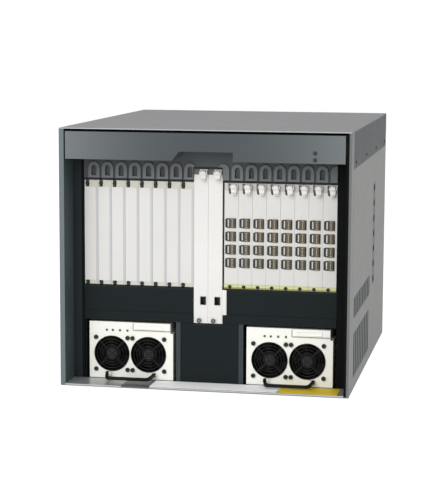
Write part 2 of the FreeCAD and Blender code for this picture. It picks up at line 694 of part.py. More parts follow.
def filler(start):
    """Plain face with a notched tab at each end, and a short carrier blade in the guides."""
    x0, x1 = start, start + SLOT_PITCH - CARD_GAP
    panel = face_channel(x0, x1, CARD_Z, CARD_TOP)
    panel = join(panel, board(start, LOWER_GUIDE, UPPER_GUIDE, FACE_Y + FILLER_LONG))
    low, high = CARD_Z + TAB_LOW, CARD_TOP - TAB_HIGH
    cuts = [
        block(x0, x1, FACE_Y, FACE_Y + TAB_BACK, CARD_Z, low),
        block(x0, x1, FACE_Y, FACE_Y + TAB_BACK, high, CARD_TOP),
    ]
    notch0, notch1 = start + NOTCH_IN - NOTCH_W / 2, start + NOTCH_IN + NOTCH_W / 2
    for z0, z1 in ((CARD_Z, low - NOTCH_END), (high + NOTCH_END, CARD_TOP)):
        cuts.append(block(notch0, notch1, FACE_Y, FACE_Y + FACE, z0, z1))
    return panel.cut(cuts)


def control_card(start):
    """Tall face with a network socket, a captive screw, lever ears and the circuit board."""
    x0, x1 = start, start + CONTROL_PITCH - CARD_GAP
    card = face_channel(x0, x1, CONTROL_Z, CONTROL_TOP)
    x, z = start + SOCKET_IN, CONTROL_Z + SOCKET_UP
    half_w, half_h = SOCKET_W / 2, SOCKET_H / 2
    housing = block(x - half_w - SOCKET_WALL, x + half_w + SOCKET_WALL, FACE_Y,
                    FACE_Y + SOCKET_DEEP + SOCKET_WALL, z - half_h - SOCKET_WALL, z + half_h + SOCKET_WALL)
    cavity = block(x - half_w, x + half_w, FACE_Y, FACE_Y + SOCKET_DEEP, z - half_h, z + half_h)
    screw_z = CONTROL_Z + SCREW_UP
    screw = prism_y(FACE_Y - SCREW_PROUD, FACE_Y, start + SCREW_IN, screw_z, SCREW_R, PIN_SIDES)
    circuit = board(start, LOW_CONTROL_GUIDE, HIGH_CONTROL_GUIDE, BOARD_END)
    ears = lever_ears(start + CONTROL_LEVER_IN, CONTROL_TOP)
    return join(card, circuit, housing, screw, *ears).cut(cavity)


# ---- fans ----


def fan_guard(radius, x, y0, z, bar, thick):
    """Punched guard: four diagonal bars out to the opening's edge."""
    reach = radius + bar
    bars = []
    for angle in (45, 135):
        spoke = block(x - reach, x + reach, y0, y0 + thick, z - bar / 2, z + bar / 2)
        bars.append(spoke.rotate(Vector(x, y0, z), Vector(0, 1, 0), angle))
    return bars


def rotor(x, z, y0, tip, hub, thick, shaft, count):
    """Fan rotor: a motor cup with cambered, leaning blades and a bore for the shaft."""
    middle = y0 + thick / 2
    blade = fan_blade(hub * HUB_SINK, tip, thick * BLADE_SHARE, middle)
    blades = []
    for i in range(count):
        turned = blade.copy()
        turned.rotate(Vector(0, middle, 0), Vector(0, 1, 0), i * 360.0 / count)
        turned.translate(Vector(x, 0, z))
        blades.append(turned)
    fan = join(prism_y(y0, y0 + thick, x, z, hub, HUB_SIDES), *blades)
    return fan.cut(prism_y(y0 - PAST, y0 + thick + PAST, x, z, (shaft + SHAFT_FIT) * HOLE, PIN_SIDES))


def fan_blade(root, tip, depth, middle):
    """One blade out along X: a strip folded once along its middle, pitched and leaning sideways."""
    angle = math.radians(BLADE_PITCH)
    half_chord = depth / math.sin(angle) / 2
    along = Vector(0, math.sin(angle), math.cos(angle)) * half_chord
    across = Vector(0, math.cos(angle), -math.sin(angle))
    lean = math.tan(math.radians(BLADE_LEAN))
    reach = half_chord * math.cos(angle) + BLADE_T + (tip - root) * lean
    length = math.sqrt(tip ** 2 - reach ** 2) - root
    centre = Vector(root, middle, 0)
    skin = across * (BLADE_T / 2)
    fold = centre + across * (half_chord * CAMBER)
    line = [centre - along, fold, centre + along]
    corners = [p + skin for p in line] + [p - skin for p in reversed(line)]
    return Part.Face(Part.makePolygon(corners + corners[:1])).extrude(Vector(length, 0, length * lean))


# ---- power supplies ----


def bail_pin(middle):
    """Place of a bail's pins: y, z and their distance from the supply's middle."""
    return FACE_Y - BAIL_PIN_OUT, SUPPLY_Z + BAIL_UP, BAIL_W / 2


def supply(middle):
    """Power supply: a stepped case with two fan openings, their guards and shafts, a raised bar
    and the ears of the bail."""
    x0, x1 = middle - SUPPLY_W / 2, middle + SUPPLY_W / 2
    y1 = FACE_Y + SUPPLY_LONG
    case = block(x0, x1, FACE_Y, y1, SUPPLY_Z, SUPPLY_TOP)
    step = block(x1 - STEP_W, x1 + PAST, FACE_Y - PAST, y1 + PAST, SUPPLY_TOP - STEP_H, SUPPLY_TOP + PAST)
    case = case.cut(step)
    fan_z = SUPPLY_Z + SMALL_FAN_UP
    back = FACE_Y + SMALL_FAN_DEEP
    bores = [prism_y(FACE_Y - PAST, back, middle + dx, fan_z, SMALL_FAN_R, BORE_SIDES) for dx in SMALL_FAN_X]
    case = case.cut(bores)
    bar_x1 = x1 - STEP_W
    pieces = [block(bar_x1 - BAR_W, bar_x1, FACE_Y - BAR_PROUD, FACE_Y, SUPPLY_TOP - BAR_H, SUPPLY_TOP)]
    for dx in SMALL_FAN_X:
        x = middle + dx
        pieces += fan_guard(SMALL_FAN_R, x, FACE_Y, fan_z, GUARD_BAR, GUARD_T)
        pieces.append(prism_y(FACE_Y, FACE_Y + GUARD_T, x, fan_z, GUARD_DISC, HUB_SIDES))
        pieces.append(prism_y(FACE_Y + GUARD_T, back, x, fan_z, SMALL_SHAFT, PIN_SIDES))
    pin_y, pin_z, reach = bail_pin(middle)
    inner = reach - EYE_T / 2 - EYE_GAP
    for side in (-1, 1):
        e0, e1 = sorted((middle + side * inner, middle + side * (inner - BAIL_EAR)))
        pieces.append(block(e0, e1, pin_y - 2 * PIN, FACE_Y, pin_z - 2 * PIN, pin_z + 2 * PIN))
        p0, p1 = sorted((middle + side * inner, middle + side * (reach + EYE_T / 2 + EYE_GAP)))
        pieces.append(prism_x(p0, p1, pin_y, pin_z, PIN, PIN_SIDES))
    return join(case, *pieces)


def bail(middle):
    """Strap handle that hangs forward from two pins: a drilled end, an arm that leans in, a bar."""
    pin_y, pin_z, reach = bail_pin(middle)
    side, inset = BAIL_BAR / 2, BAIL_TAPER
    outer = bail_outline(reach + side, reach + side - inset, BAIL_REACH + side, BAIL_BEND + side)
    inner = bail_outline(reach - side, reach - side - inset, BAIL_REACH - side, BAIL_BEND - side)
    strap = outer.cut(inner)
    half = EYE_T / 2
    eyes = [block(x - half, x + half, -EYE_R, EYE_R, -BAIL_T / 2, BAIL_T / 2) for x in (-reach, reach)]
    hole = (PIN + PIN_FIT) * HOLE
    holes = [prism_x(x - EYE_T, x + EYE_T, 0, 0, hole, PIN_SIDES) for x in (-reach, reach)]
    strap = join(strap, *eyes).cut(holes)
    strap.rotate(Vector(0, 0, 0), Vector(1, 0, 0), BAIL_DROP)
    strap.translate(Vector(middle, pin_y, pin_z))
    return strap


def bail_outline(half_back, half_front, reach, bend):
    """Slab that narrows towards the front, where its two corners are rounded, from the pins at its
    back edge."""
    corners = [
        Vector(-half_back, 0, -BAIL_T / 2),
        Vector(half_back, 0, -BAIL_T / 2),
        Vector(half_front, -reach, -BAIL_T / 2),
        Vector(-half_front, -reach, -BAIL_T / 2),
    ]
    slab = Part.Face(Part.makePolygon(corners + corners[:1])).extrude(Vector(0, 0, BAIL_T))
    front = [e for e in slab.Edges if e.BoundBox.ZLength > BAIL_T / 2 and e.BoundBox.YMax < -reach / 2]
    return slab.makeFillet(bend, front)


# ---- rear ----


def module_levels():
    """Lower edges of the rear fan modules."""
    return [MODULE_Z + i * (MODULE_H + MODULE_GAP) for i in range(len(FAN_MODULES))]


def rear_panel():
    """Rear wall with openings for the fan modules and the power module."""
    half = WIDTH / 2 - 2 * SHEET
    panel = block(-half, half, REAR_Y - SHEET, REAR_Y, SHEET, LID_Z)
    cuts = []
    reach = MODULE_W / 2 - MODULE_LAP + MODULE_FIT
    for z in module_levels():
        cuts.append(block(-reach, reach, REAR_Y - SHEET - PAST, REAR_Y + PAST,
                          z + MODULE_LAP - MODULE_FIT, z + MODULE_H - MODULE_LAP + MODULE_FIT))
    reach = POWER_W / 2 - MODULE_LAP
    cuts.append(block(-reach, reach, REAR_Y - SHEET - PAST, REAR_Y + PAST,
                      POWER_Z + MODULE_LAP, POWER_Z + POWER_H - MODULE_LAP))
    return panel.cut(cuts)


def fan_module(z0):
    """Removable rear fan module: a sheet box with round openings front and rear, guards, shafts
    and two handles."""
    half = MODULE_W / 2
    z1 = z0 + MODULE_H
    plate_y = REAR_Y + MODULE_T
    inner_y = REAR_Y - MODULE_DEEP
    plate = block(-half, half, REAR_Y, plate_y, z0, z1)
    x1, low, high = half - MODULE_LAP, z0 + MODULE_LAP, z1 - MODULE_LAP
    body = block(-x1, x1, inner_y, REAR_Y, low, high)
    hollow = block(MODULE_T - x1, x1 - MODULE_T, inner_y + MODULE_T, REAR_Y, low + MODULE_T, high - MODULE_T)
    fan_z = z0 + MODULE_H / 2
    xs = fan_places()
    bores = [prism_y(inner_y - PAST, plate_y + PAST, x, fan_z, BIG_FAN_R, BORE_SIDES) for x in xs]
    pieces = []
    for x in [(a + b) / 2 for a, b in zip(xs, xs[1:])]:
        pieces.append(block(x - MODULE_T / 2, x + MODULE_T / 2, inner_y + MODULE_T, REAR_Y, low, high))
    for x in xs:
        pieces += fan_guard(BIG_FAN_R, x, REAR_Y, fan_z, BIG_BAR, MODULE_T)
        pieces.append(prism_y(inner_y + ROTOR_BACK, REAR_Y, x, fan_z, BIG_SHAFT, PIN_SIDES))
        pieces.append(prism_y(REAR_Y - BIG_MOTOR, plate_y, x, fan_z, BIG_DISC, HUB_SIDES))
    for side in (-1, 1):
        pieces.append(strap_handle(side * (half - HANDLE_IN), plate_y, fan_z))
    return join(join(plate, body).cut(hollow).cut(bores), *pieces)


def fan_places():
    """Middles of a rear module's fans."""
    return [(i - (BIG_FANS - 1) / 2) * BIG_FAN_PITCH for i in range(BIG_FANS)]


def strap_handle(x, y, z):
    """Upright strap handle on a plate at y."""
    outer = block(x - HANDLE_W / 2, x + HANDLE_W / 2, y, y + HANDLE_PROUD, z - HANDLE_H / 2, z + HANDLE_H / 2)
    gap = block(x - HANDLE_W, x + HANDLE_W, y, y + HANDLE_PROUD - HANDLE_T,
                z - HANDLE_H / 2 + HANDLE_T, z + HANDLE_H / 2 - HANDLE_T)
    return outer.cut(gap)


def inlet_block(x, grow, y0, y1):
    """A mains inlet's outline between two depths, grown by grow."""
    z = POWER_Z + INLET_UP
    wide, high = INLET_W / 2 + grow, INLET_H / 2 + grow
    return block(x - wide, x + wide, y0, y1, z - high, z + high)


def power_module():
    """Rear power module: face plate and box, with wells for two mains inlets and a switch."""
    half = POWER_W / 2
    plate_y = REAR_Y + MODULE_T
    plate = block(-half, half, REAR_Y, plate_y, POWER_Z, POWER_Z + POWER_H)
    body = block(-half + MODULE_LAP, half - MODULE_LAP, REAR_Y - POWER_DEEP, REAR_Y,
                 POWER_Z + MODULE_LAP, POWER_Z + POWER_H - MODULE_LAP)
    z = POWER_Z + INLET_UP
    wide, high = SWITCH_W / 2 + SWITCH_GAP, SWITCH_H / 2 + SWITCH_GAP
    well = block(-wide, wide, plate_y - SWITCH_DEEP, plate_y + PAST, z - high, z + high)
    well_y = plate_y - INLET_DEEP - INLET_WALL
    wells = [well] + [inlet_block(x, 0, well_y, plate_y + PAST) for x in (-INLET_X, INLET_X)]
    pin = prism_x(-wide - PAST, wide + PAST, plate_y - SWITCH_PIN_IN, z, SWITCH_PIN, PIN_SIDES)
    return join(join(plate, body).cut(wells), pin)


def inlet_sockets():
    """Two mains inlets: a rimmed housing with three flat blades in its cavity."""
    inlets = []
    z = POWER_Z + INLET_UP
    rear = REAR_Y + MODULE_T
    rim_y = rear + INLET_RIM
    floor_y = rim_y - INLET_DEEP
    for x in (-INLET_X, INLET_X):
        housing = inlet_block(x, 0, rear - INLET_DEEP - INLET_WALL, rear)
        rim = inlet_block(x, INLET_RIM, rear, rim_y)
        cavity = inlet_block(x, -INLET_WALL, floor_y, rim_y + PAST)
        blades = []
        for dx, dz in BLADE_PLACES:
            blade_x, blade_z = x + dx, z + dz
            blades.append(block(blade_x - BLADE_H / 2, blade_x + BLADE_H / 2, floor_y - PAST,
                                floor_y + BLADE_LONG, blade_z - BLADE_W / 2, blade_z + BLADE_W / 2))
        inlets.append(join(join(housing, rim).cut(cavity), *blades))
    return Part.makeCompound(inlets)


def power_switch():
    """Rocker on a pin, with its lower half pressed in."""
    z = POWER_Z + INLET_UP
    pin_y = REAR_Y + MODULE_T - SWITCH_PIN_IN
    half = SWITCH_H / 2 - SWITCH_END
    back = half * SWITCH_BACK
    crown = SWITCH_PIN_IN
    rise = half * math.tan(math.radians(SWITCH_TILT))
    outline = [
        (crown, 0), (crown + rise, half), (rise - SWITCH_THICK, back),
        (-SWITCH_THICK, 0), (rise - SWITCH_THICK, -back), (crown + rise, -half),
    ]
    profile = [Vector(-SWITCH_W / 2, pin_y + dy, z + dz) for dy, dz in outline]
    rocker = Part.Face(Part.makePolygon(profile + profile[:1])).extrude(Vector(SWITCH_W, 0, 0))
    rocker.rotate(Vector(0, pin_y, z), Vector(1, 0, 0), SWITCH_TILT)
    return rocker.cut(prism_x(-SWITCH_W, SWITCH_W, pin_y, z, (SWITCH_PIN + PIN_FIT) * HOLE, PIN_SIDES))


# ---- all pieces, one file each ----

os.makedirs("parts", exist_ok=True)

save("chassis_shell", chassis_shell())
save("top_cover", top_cover())
save("front_liner", front_liner())
save("sill", sill())
save("sill_strips", sill_strips())
save("bezel", bezel())
save("status_lamps", status_lamps())
save("intake_grille", intake_grille())
save("card_cage", card_cage())
save("backplane", backplane())
save("lower_panel", lower_panel())
save("power_bay", power_bay())
save("rear_panel", rear_panel())
save("power_module", power_module())
save("inlet_sockets", inlet_sockets())
save("power_switch", power_switch())

filler_starts, control_starts, port_starts = slot_starts()
for number, start in enumerate(filler_starts, 1):
    save("filler_%d" % number, filler(start))
for number, start in enumerate(control_starts, 1):
    save("control_card_%d" % number, control_card(start))
    save("control_lever_%d" % number, ejector_lever(start + CONTROL_LEVER_IN, CONTROL_TOP))
for number, start in enumerate(port_starts, 1):
    save("port_card_%d" % number, port_card(start))
    save("port_lever_%d" % number, ejector_lever(start + LEVER_IN, CARD_TOP))

for name, middle in (("left", BAY_OFFSET - SUPPLY_X), ("right", BAY_OFFSET + SUPPLY_X)):
    save("supply_" + name, supply(middle))
    save("supply_bail_" + name, bail(middle))
    for letter, offset in zip("ab", SMALL_FAN_X):
        shape = rotor(middle + offset, SUPPLY_Z + SMALL_FAN_UP, FACE_Y + GUARD_T + ROTOR_BACK, SMALL_TIP,
                      SMALL_HUB, SMALL_ROTOR_T, SMALL_SHAFT, SMALL_BLADES)
        save("supply_rotor_" + name + "_" + letter, shape)

for name, level in zip(FAN_MODULES, module_levels()):
    save("fan_module_" + name, fan_module(level))
    for letter, x in zip("abc", fan_places()):
        shape = rotor(x, level + MODULE_H / 2, REAR_Y - BIG_MOTOR - ROTOR_BACK - BIG_ROTOR_T, BIG_TIP,
                      BIG_HUB, BIG_ROTOR_T, BIG_SHAFT, BIG_BLADES)
        save("fan_rotor_" + name + "_" + letter, shape)
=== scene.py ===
import math

import bpy
from mathutils import Matrix, Vector


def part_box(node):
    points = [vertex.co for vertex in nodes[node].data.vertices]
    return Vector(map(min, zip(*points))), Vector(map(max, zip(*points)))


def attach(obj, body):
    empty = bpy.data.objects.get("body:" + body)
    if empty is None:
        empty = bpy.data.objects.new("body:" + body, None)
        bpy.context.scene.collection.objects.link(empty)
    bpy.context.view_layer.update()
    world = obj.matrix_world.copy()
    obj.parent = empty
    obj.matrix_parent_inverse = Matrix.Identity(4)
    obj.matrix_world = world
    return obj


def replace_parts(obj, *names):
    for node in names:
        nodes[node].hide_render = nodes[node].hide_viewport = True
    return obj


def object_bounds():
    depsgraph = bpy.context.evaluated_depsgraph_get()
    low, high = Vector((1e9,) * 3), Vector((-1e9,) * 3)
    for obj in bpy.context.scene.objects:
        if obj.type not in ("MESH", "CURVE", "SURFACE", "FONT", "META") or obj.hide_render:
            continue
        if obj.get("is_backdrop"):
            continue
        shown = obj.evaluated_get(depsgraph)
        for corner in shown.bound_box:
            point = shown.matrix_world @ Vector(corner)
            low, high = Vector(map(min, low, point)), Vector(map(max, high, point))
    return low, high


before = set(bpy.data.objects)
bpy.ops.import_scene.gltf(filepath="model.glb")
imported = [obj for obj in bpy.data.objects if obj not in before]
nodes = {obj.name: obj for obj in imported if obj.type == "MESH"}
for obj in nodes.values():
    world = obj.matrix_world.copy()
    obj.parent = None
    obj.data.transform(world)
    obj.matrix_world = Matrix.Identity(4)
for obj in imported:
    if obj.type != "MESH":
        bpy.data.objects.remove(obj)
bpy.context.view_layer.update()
MM = 0.001  # sizes are written in millimetres, the scene is in metres

# ---- shell and cover ----
# The body is folded from painted steel sheet: floor and side walls in one piece, with rows of
# vent slots punched through the sides. The cover drops over it and is held by small screws.


class Wire:
    """An output of a shader node that can be used in sums and comparisons."""

    def __init__(self, graph, socket):
        self.graph = graph
        self.socket = socket

    def sum(self, operation, first, second):
        return self.graph.node("ShaderNodeMath", {"operation": operation}, {0: first, 1: second})

    def __add__(self, other):
        return self.sum("ADD", self, other)

    def __radd__(self, other):
        return self.sum("ADD", other, self)

    def __sub__(self, other):
        return self.sum("SUBTRACT", self, other)

    def __mul__(self, other):
        return self.sum("MULTIPLY", self, other)

    def __rmul__(self, other):
        return self.sum("MULTIPLY", other, self)

    def __truediv__(self, other):
        return self.sum("DIVIDE", self, other)

    def __mod__(self, other):
        return self.sum("FLOORED_MODULO", self, other)

    def __gt__(self, other):
        return self.sum("GREATER_THAN", self, other)

    def __lt__(self, other):
        return self.sum("LESS_THAN", self, other)


class Graph:
    """A tree of shader nodes under construction."""

    def __init__(self, tree):
        self.tree = tree

    def node(self, kind, settings, values, output=0):
        made = self.tree.nodes.new(kind)
        for key, value in settings.items():
            setattr(made, key, value)
        for key, value in values.items():
            if isinstance(value, Wire):
                self.tree.links.new(value.socket, made.inputs[key])
            else:
                made.inputs[key].default_value = value
        return Wire(self, made.outputs[output])


class Paint(Graph):
    """A material under construction. x, y and z are the place on the object in millimetres."""

    def __init__(self, name, roughness, metallic=0.0, coat=0.0):
        self.material = bpy.data.materials.new(name)
        self.material.use_nodes = True
        super().__init__(self.material.node_tree)
        self.shader = self.tree.nodes["Principled BSDF"]
        self.shader.inputs["Roughness"].default_value = roughness
        self.shader.inputs["Metallic"].default_value = metallic
        self.shader.inputs["Coat Weight"].default_value = coat
        self.place = self.node("ShaderNodeTexCoord", {}, {}, "Object")
        self.colour = None
        self.x, self.y, self.z = [self.along(axis) * (1 / MM) for axis in range(3)]

    def along(self, axis):
        return self.node("ShaderNodeSeparateXYZ", {}, {0: self.place}, axis)

    def noise(self, scale, detail=3.0):
        values = {"Vector": self.place, "Scale": scale, "Detail": detail, "Roughness": 0.5}
        return self.node("ShaderNodeTexNoise", {}, values)

    def streaks(self, scale, stretch):
        """Noise drawn out along one axis, as by a brush."""
        scaled = self.node("ShaderNodeMapping", {}, {"Vector": self.place, "Scale": stretch})
        values = {"Vector": scaled, "Scale": scale, "Detail": 4.0, "Roughness": 0.6}
        return self.node("ShaderNodeTexNoise", {}, values)

    def mix(self, factor, first, second):
        """Two colours mixed. They go into sockets 6 and 7, and the mix is output 2."""
        values = {"Factor": factor, 6: first, 7: second}
        return self.node("ShaderNodeMix", {"data_type": "RGBA"}, values, 2)

    def inside(self, value, low, high):
        """1 where value lies between low and high."""
        return (value > low) * (value < high)

    def disc(self, x, z, radius):
        """1 within radius of the line along Y through x and z."""
        across, up = self.x - x, self.z - z
        return across * across + up * up < radius * radius

    def feed(self, name, wire):
        self.tree.links.new(wire.socket, self.shader.inputs[name])

    def coat(self, code, spread=0.08, scale=9.0):
        """Base colour with slow, slight changes of tone."""
        cloud = self.noise(scale, 4.0)
        self.colour = self.mix(cloud, shade(code, 1 - spread), shade(code, 1 + spread))
        self.feed("Base Color", self.colour)

    def over(self, mask, code):
        """Another colour where mask is 1, and a share of it where mask is less."""
        self.colour = self.mix(mask, self.colour, tone(code))
        self.feed("Base Color", self.colour)

    def holes(self, across, up, pitch, radius_squared, code):
        """Round holes in straight rows, drawn in another colour."""
        row = (across % pitch) - pitch / 2
        column = (up % pitch) - pitch / 2
        self.over(row * row + column * column < radius_squared, code)

    def bump(self, height, distance, strength=0.5):
        values = {"Height": height, "Distance": distance, "Strength": strength}
        self.feed("Normal", self.node("ShaderNodeBump", {}, values))

    def grain(self, scale, distance, detail=3.0, strength=0.5):
        """Fine, even unevenness, with its depth in metres."""
        self.bump(self.noise(scale, detail), distance, strength)


def tone(code):
    """Colour from six hex digits, as linear values."""
    parts = [int(code[i:i + 2], 16) / 255 for i in (0, 2, 4)]
    linear = [c / 12.92 if c < 0.04045 else ((c + 0.055) / 1.055) ** 2.4 for c in parts]
    return (*linear, 1.0)


def shade(code, factor):
    """The same colour made lighter or darker."""
    red, green, blue, alpha = tone(code)
    return (red * factor, green * factor, blue * factor, alpha)


def powder_coat(name, code, roughness=0.5, spread=0.06, gloss=0.5):
    """Satin powder coat: fine orange peel and slow, slight changes of tone."""
    paint = Paint(name, roughness)
    paint.shader.inputs["Specular IOR Level"].default_value = gloss
    paint.coat(code, spread)
    paint.feed("Roughness", roughness - 0.06 + 0.12 * paint.noise(60.0))
    paint.grain(900.0, 0.00005, detail=2.0, strength=0.35)
    return paint


def wear(paint, *names):
    """Puts a paint on CAD nodes."""
    for name in names:
        mesh = nodes[name].data
        mesh.materials.clear()
        mesh.materials.append(paint.material)


shell_low, shell_high = [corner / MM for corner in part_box("chassis_shell")]
cover_low, cover_high = [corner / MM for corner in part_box("top_cover")]
BAND_Y = shell_low.y + 31  # behind the groove round the side
REFLECTION_TONE = "3e4345"
SKIRT_Z = cover_low.z
HIGHLIGHT_LIP, COVER_SHEET = 1.2, 1.4  # width of the painted highlight on the front edge, and the top that stays out of the painted reflection band
VENT_FIELDS = ((-217, 18, 110, 144), (-214, 10, 18, 88), (60, 94, 120, 292))  # from and to, in y and z
SQUARE_ON = 0.9  # cosine to a direction, over which a face counts as looking that way
BEVEL_ANGLE, SMOOTH_ANGLE = math.radians(40), math.radians(35)
KEY_RIM, KEY_DEPTH, HEAD_EDGE = 0.5, 0.6, 0.14  # shares of a screw head's radius, height and radius
CASE_SCREW_Y, CASE_SCREW_UP = (-212, -60, 92, 246), 9
CASE_SCREW_R, CASE_SCREW_OUT = 2.6, 0.9
SCREW_SUNK = 0.1  # share of its height by which a screw's head sits in the sheet

case_paint = powder_coat("case_paint", "868685", gloss=0.08)
# The upper band of each side, behind the groove, is painted darker: a painted reflection of the dark
# surroundings in the satin paint.
case_paint.over((case_paint.z > SKIRT_Z) * (case_paint.y > BAND_Y), REFLECTION_TONE)
for y0, y1, z0, z1 in VENT_FIELDS:
    field = case_paint.inside(case_paint.y, y0, y1) * case_paint.inside(case_paint.z, z0, z1)
    case_paint.over(field, "626765")
wear(case_paint, "chassis_shell")
cover_paint = powder_coat("cover_paint", "7c7c7e", gloss=0.1)
# A painted highlight along the cover's front edge.
cover_paint.over(cover_paint.y < cover_low.y + HIGHLIGHT_LIP, "aaaeb0")
# The cover's skirt carries the same painted reflection band.
cover_paint.over((cover_paint.z < cover_high.z - COVER_SHEET) * (cover_paint.y > BAND_Y), REFLECTION_TONE)
wear(cover_paint, "top_cover")


def put_down():
    """Leaves nothing open for editing and nothing selected."""
    if bpy.context.mode != "OBJECT":
        bpy.ops.object.mode_set(mode="OBJECT")
    bpy.ops.object.select_all(action="DESELECT")


def take(*pieces):
    """Selects these pieces alone, the first of them active."""
    put_down()
    for piece in pieces:
        piece.select_set(True)
    bpy.context.view_layer.objects.active = pieces[0]
    return pieces[0]


def settle(name):
    """Names what an operator has just made and puts its place into its mesh."""
    made = bpy.context.object
    made.name = name
    bpy.ops.object.transform_apply(location=True, rotation=True, scale=True)
    return made


def slab(name, low, high):
    """A block to shape, between two corners in millimetres."""
    put_down()
    low, high = Vector(low) * MM, Vector(high) * MM
    bpy.ops.mesh.primitive_cube_add(size=1.0, location=(low + high) / 2, scale=high - low)
    return settle(name)


def rod(name, start, end, radius, sides=24):
    """Round stock to shape, between two points in millimetres."""
    put_down()
    start, end = Vector(start) * MM, Vector(end) * MM
    turn = (end - start).to_track_quat("Z", "Y").to_euler()
    bpy.ops.mesh.primitive_cylinder_add(vertices=sides, radius=radius * MM, depth=(end - start).length,
                                        location=(start + end) / 2, rotation=turn)
    return settle(name)


def pick(piece, test):
    """Opens a piece for editing with those faces selected whose middle and normal pass test."""
    take(piece)
    bpy.ops.object.mode_set(mode="EDIT")
    bpy.ops.mesh.select_mode(type="FACE")
    bpy.ops.mesh.select_all(action="DESELECT")
    bpy.ops.object.mode_set(mode="OBJECT")
    for face in piece.data.polygons:
        face.select = bool(test(face.center / MM, face.normal))
    bpy.ops.object.mode_set(mode="EDIT")


def facing(direction):
    """A test for faces that look in a direction."""
    direction = Vector(direction).normalized()
    return lambda place, normal: normal.dot(direction) > SQUARE_ON


def inset(width):
    """Draws the border of the selected faces in by millimetres."""
    bpy.ops.mesh.inset(thickness=width * MM)


def stretch(scale, middle):
    """Scales what is selected about a point in millimetres."""
    bpy.ops.transform.resize(value=scale, center_override=Vector(middle) * MM)


def pull(x, y, z):
    """Extrudes the selected faces by a move in millimetres."""
    bpy.ops.mesh.extrude_region_move(TRANSFORM_OT_translate={"value": Vector((x, y, z)) * MM})


def terrace(*steps):
    """Insets the selected faces and pulls the rest along Y, once for each pair of millimetres."""
    for border, move in steps:
        inset(border)
        pull(0, move, 0)


def repeat(piece, moves):
    """Adds copies of the whole mesh, each moved on from the one before."""
    pick(piece, lambda place, normal: True)
    for move in moves:
        bpy.ops.mesh.duplicate_move(TRANSFORM_OT_translate={"value": Vector(move) * MM})
    put_down()
    return piece


def rounded(piece, width, segments=2):
    """Rounds the sharp edges of a piece."""
    take(piece)
    edge = piece.modifiers.new("edge", "BEVEL")
    edge.width = width * MM
    edge.segments = segments
    edge.limit_method = "ANGLE"
    edge.angle_limit = BEVEL_ANGLE
    bpy.ops.object.modifier_apply(modifier="edge")
    return piece


def weld(*pieces):
    """Makes one piece of several."""
    take(*pieces)
    bpy.ops.object.join()
    return bpy.context.object


def fasten(piece, paint, body):
    """Gives a piece its paint and the body that it moves with."""
    take(piece)
    bpy.ops.object.shade_smooth_by_angle(angle=SMOOTH_ANGLE)
    if paint:
        piece.data.materials.append(paint.material)
    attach(piece, body)
    return piece


def another(piece, name, move, body):
    """A copy with its own mesh, moved by millimetres and fastened to its own body."""
    take(piece)
    bpy.ops.object.duplicate()
    made = bpy.context.object
    made.parent = None
    bpy.ops.transform.translate(value=Vector(move) * MM)
    settle(name)
    return fasten(made, None, body)


def screws(name, seats, out, radius):
    """Socket screws: round heads that stand out from their seats, with a pocket for the key."""
    heads = []
    out = Vector(out)
    for seat in seats:
        head = rod(name, seat, Vector(seat) + out, radius, 16)
        pick(head, facing(out))
        inset(radius * KEY_RIM)
        pull(*(out * -KEY_DEPTH))
        heads.append(rounded(head, radius * HEAD_EDGE))
    return weld(*heads)


screw_steel = Paint("screw_steel", 0.32, metallic=0.9)
screw_steel.coat("8f9294", 0.1, 200.0)
screw_steel.grain(700.0, 0.00004)
black_screw = Paint("black_screw", 0.4, metallic=0.3)
black_screw.coat("1b1b1c", 0.2, 200.0)
black_screw.grain(700.0, 0.00004)

for side, x, out in (("left", shell_low.x, -CASE_SCREW_OUT), ("right", shell_high.x, CASE_SCREW_OUT)):
    seats = [(x - out * SCREW_SUNK, y, SKIRT_Z + CASE_SCREW_UP) for y in CASE_SCREW_Y]
    heads = screws("case_screws_" + side, seats, (out, 0, 0), CASE_SCREW_R)
    fasten(heads, case_paint, "chassis")

# Perforated steel screens stand behind the vents, against the inside of the walls.
screen_steel = Paint("screen_steel", 0.45, metallic=0.2)
screen_steel.coat("646a68", 0.06)
HOLE_PITCH, HOLE_SQUARED = 4.0, 1.9  # the second is the square of a hole's radius
SCREEN_IN, SCREEN_DEEP, SCREEN_RIM = 1.55, 0.8, 2.5
screen_steel.holes(screen_steel.y, screen_steel.z, HOLE_PITCH, HOLE_SQUARED, "0b0c0c")
screen_steel.grain(500.0, 0.00003)
VENT_PATCHES = ((-219, 20, 108, 146), (-216, 12, 16, 90), (64, 90, 120, 292))  # as VENT_FIELDS
for side, x, deep in (("left", shell_low.x + SCREEN_IN, SCREEN_DEEP),
                      ("right", shell_high.x - SCREEN_IN, -SCREEN_DEEP)):
    screens = []
    for y0, y1, z0, z1 in VENT_PATCHES:
        screen = slab("screen", (min(x, x + deep), y0, z0), (max(x, x + deep), y1, z1))
        pick(screen, lambda place, normal: abs(normal.x) > SQUARE_ON)
        inset(SCREEN_RIM)
        stretch((0.5, 1, 1), (x + deep / 2, 0, 0))
        put_down()
        screens.append(screen)
    fasten(weld(*screens), screen_steel, "chassis").name = "vent_screens_" + side

# ---- front lining ----
# Dark painted sheet lines the recess: two borders at the front edge, the side walls and the flanges that
# meet the modules.
# The left wall takes the lamps' light; the right side is painted near black as shade, with a painted
# highlight down its outer edge, and the flanges carry painted shade.
liner_low, liner_high = [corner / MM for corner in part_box("front_liner")]
liner_paint = powder_coat("liner_paint", "454f51", 0.55, gloss=0.08)
LINER_EDGE, LINER_SHEET = 0.4, 1.7  # depths of the front borders and of the rear flanges
SHADED_X, LIT_WIDTH = 190, 3.6
border = liner_paint.y < liner_low.y + LINER_EDGE
flange = liner_paint.y > liner_high.y - LINER_SHEET
beside_fillers = liner_paint.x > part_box("filler_1")[0].x / MM - 5
liner_paint.over(border, "6a7477")
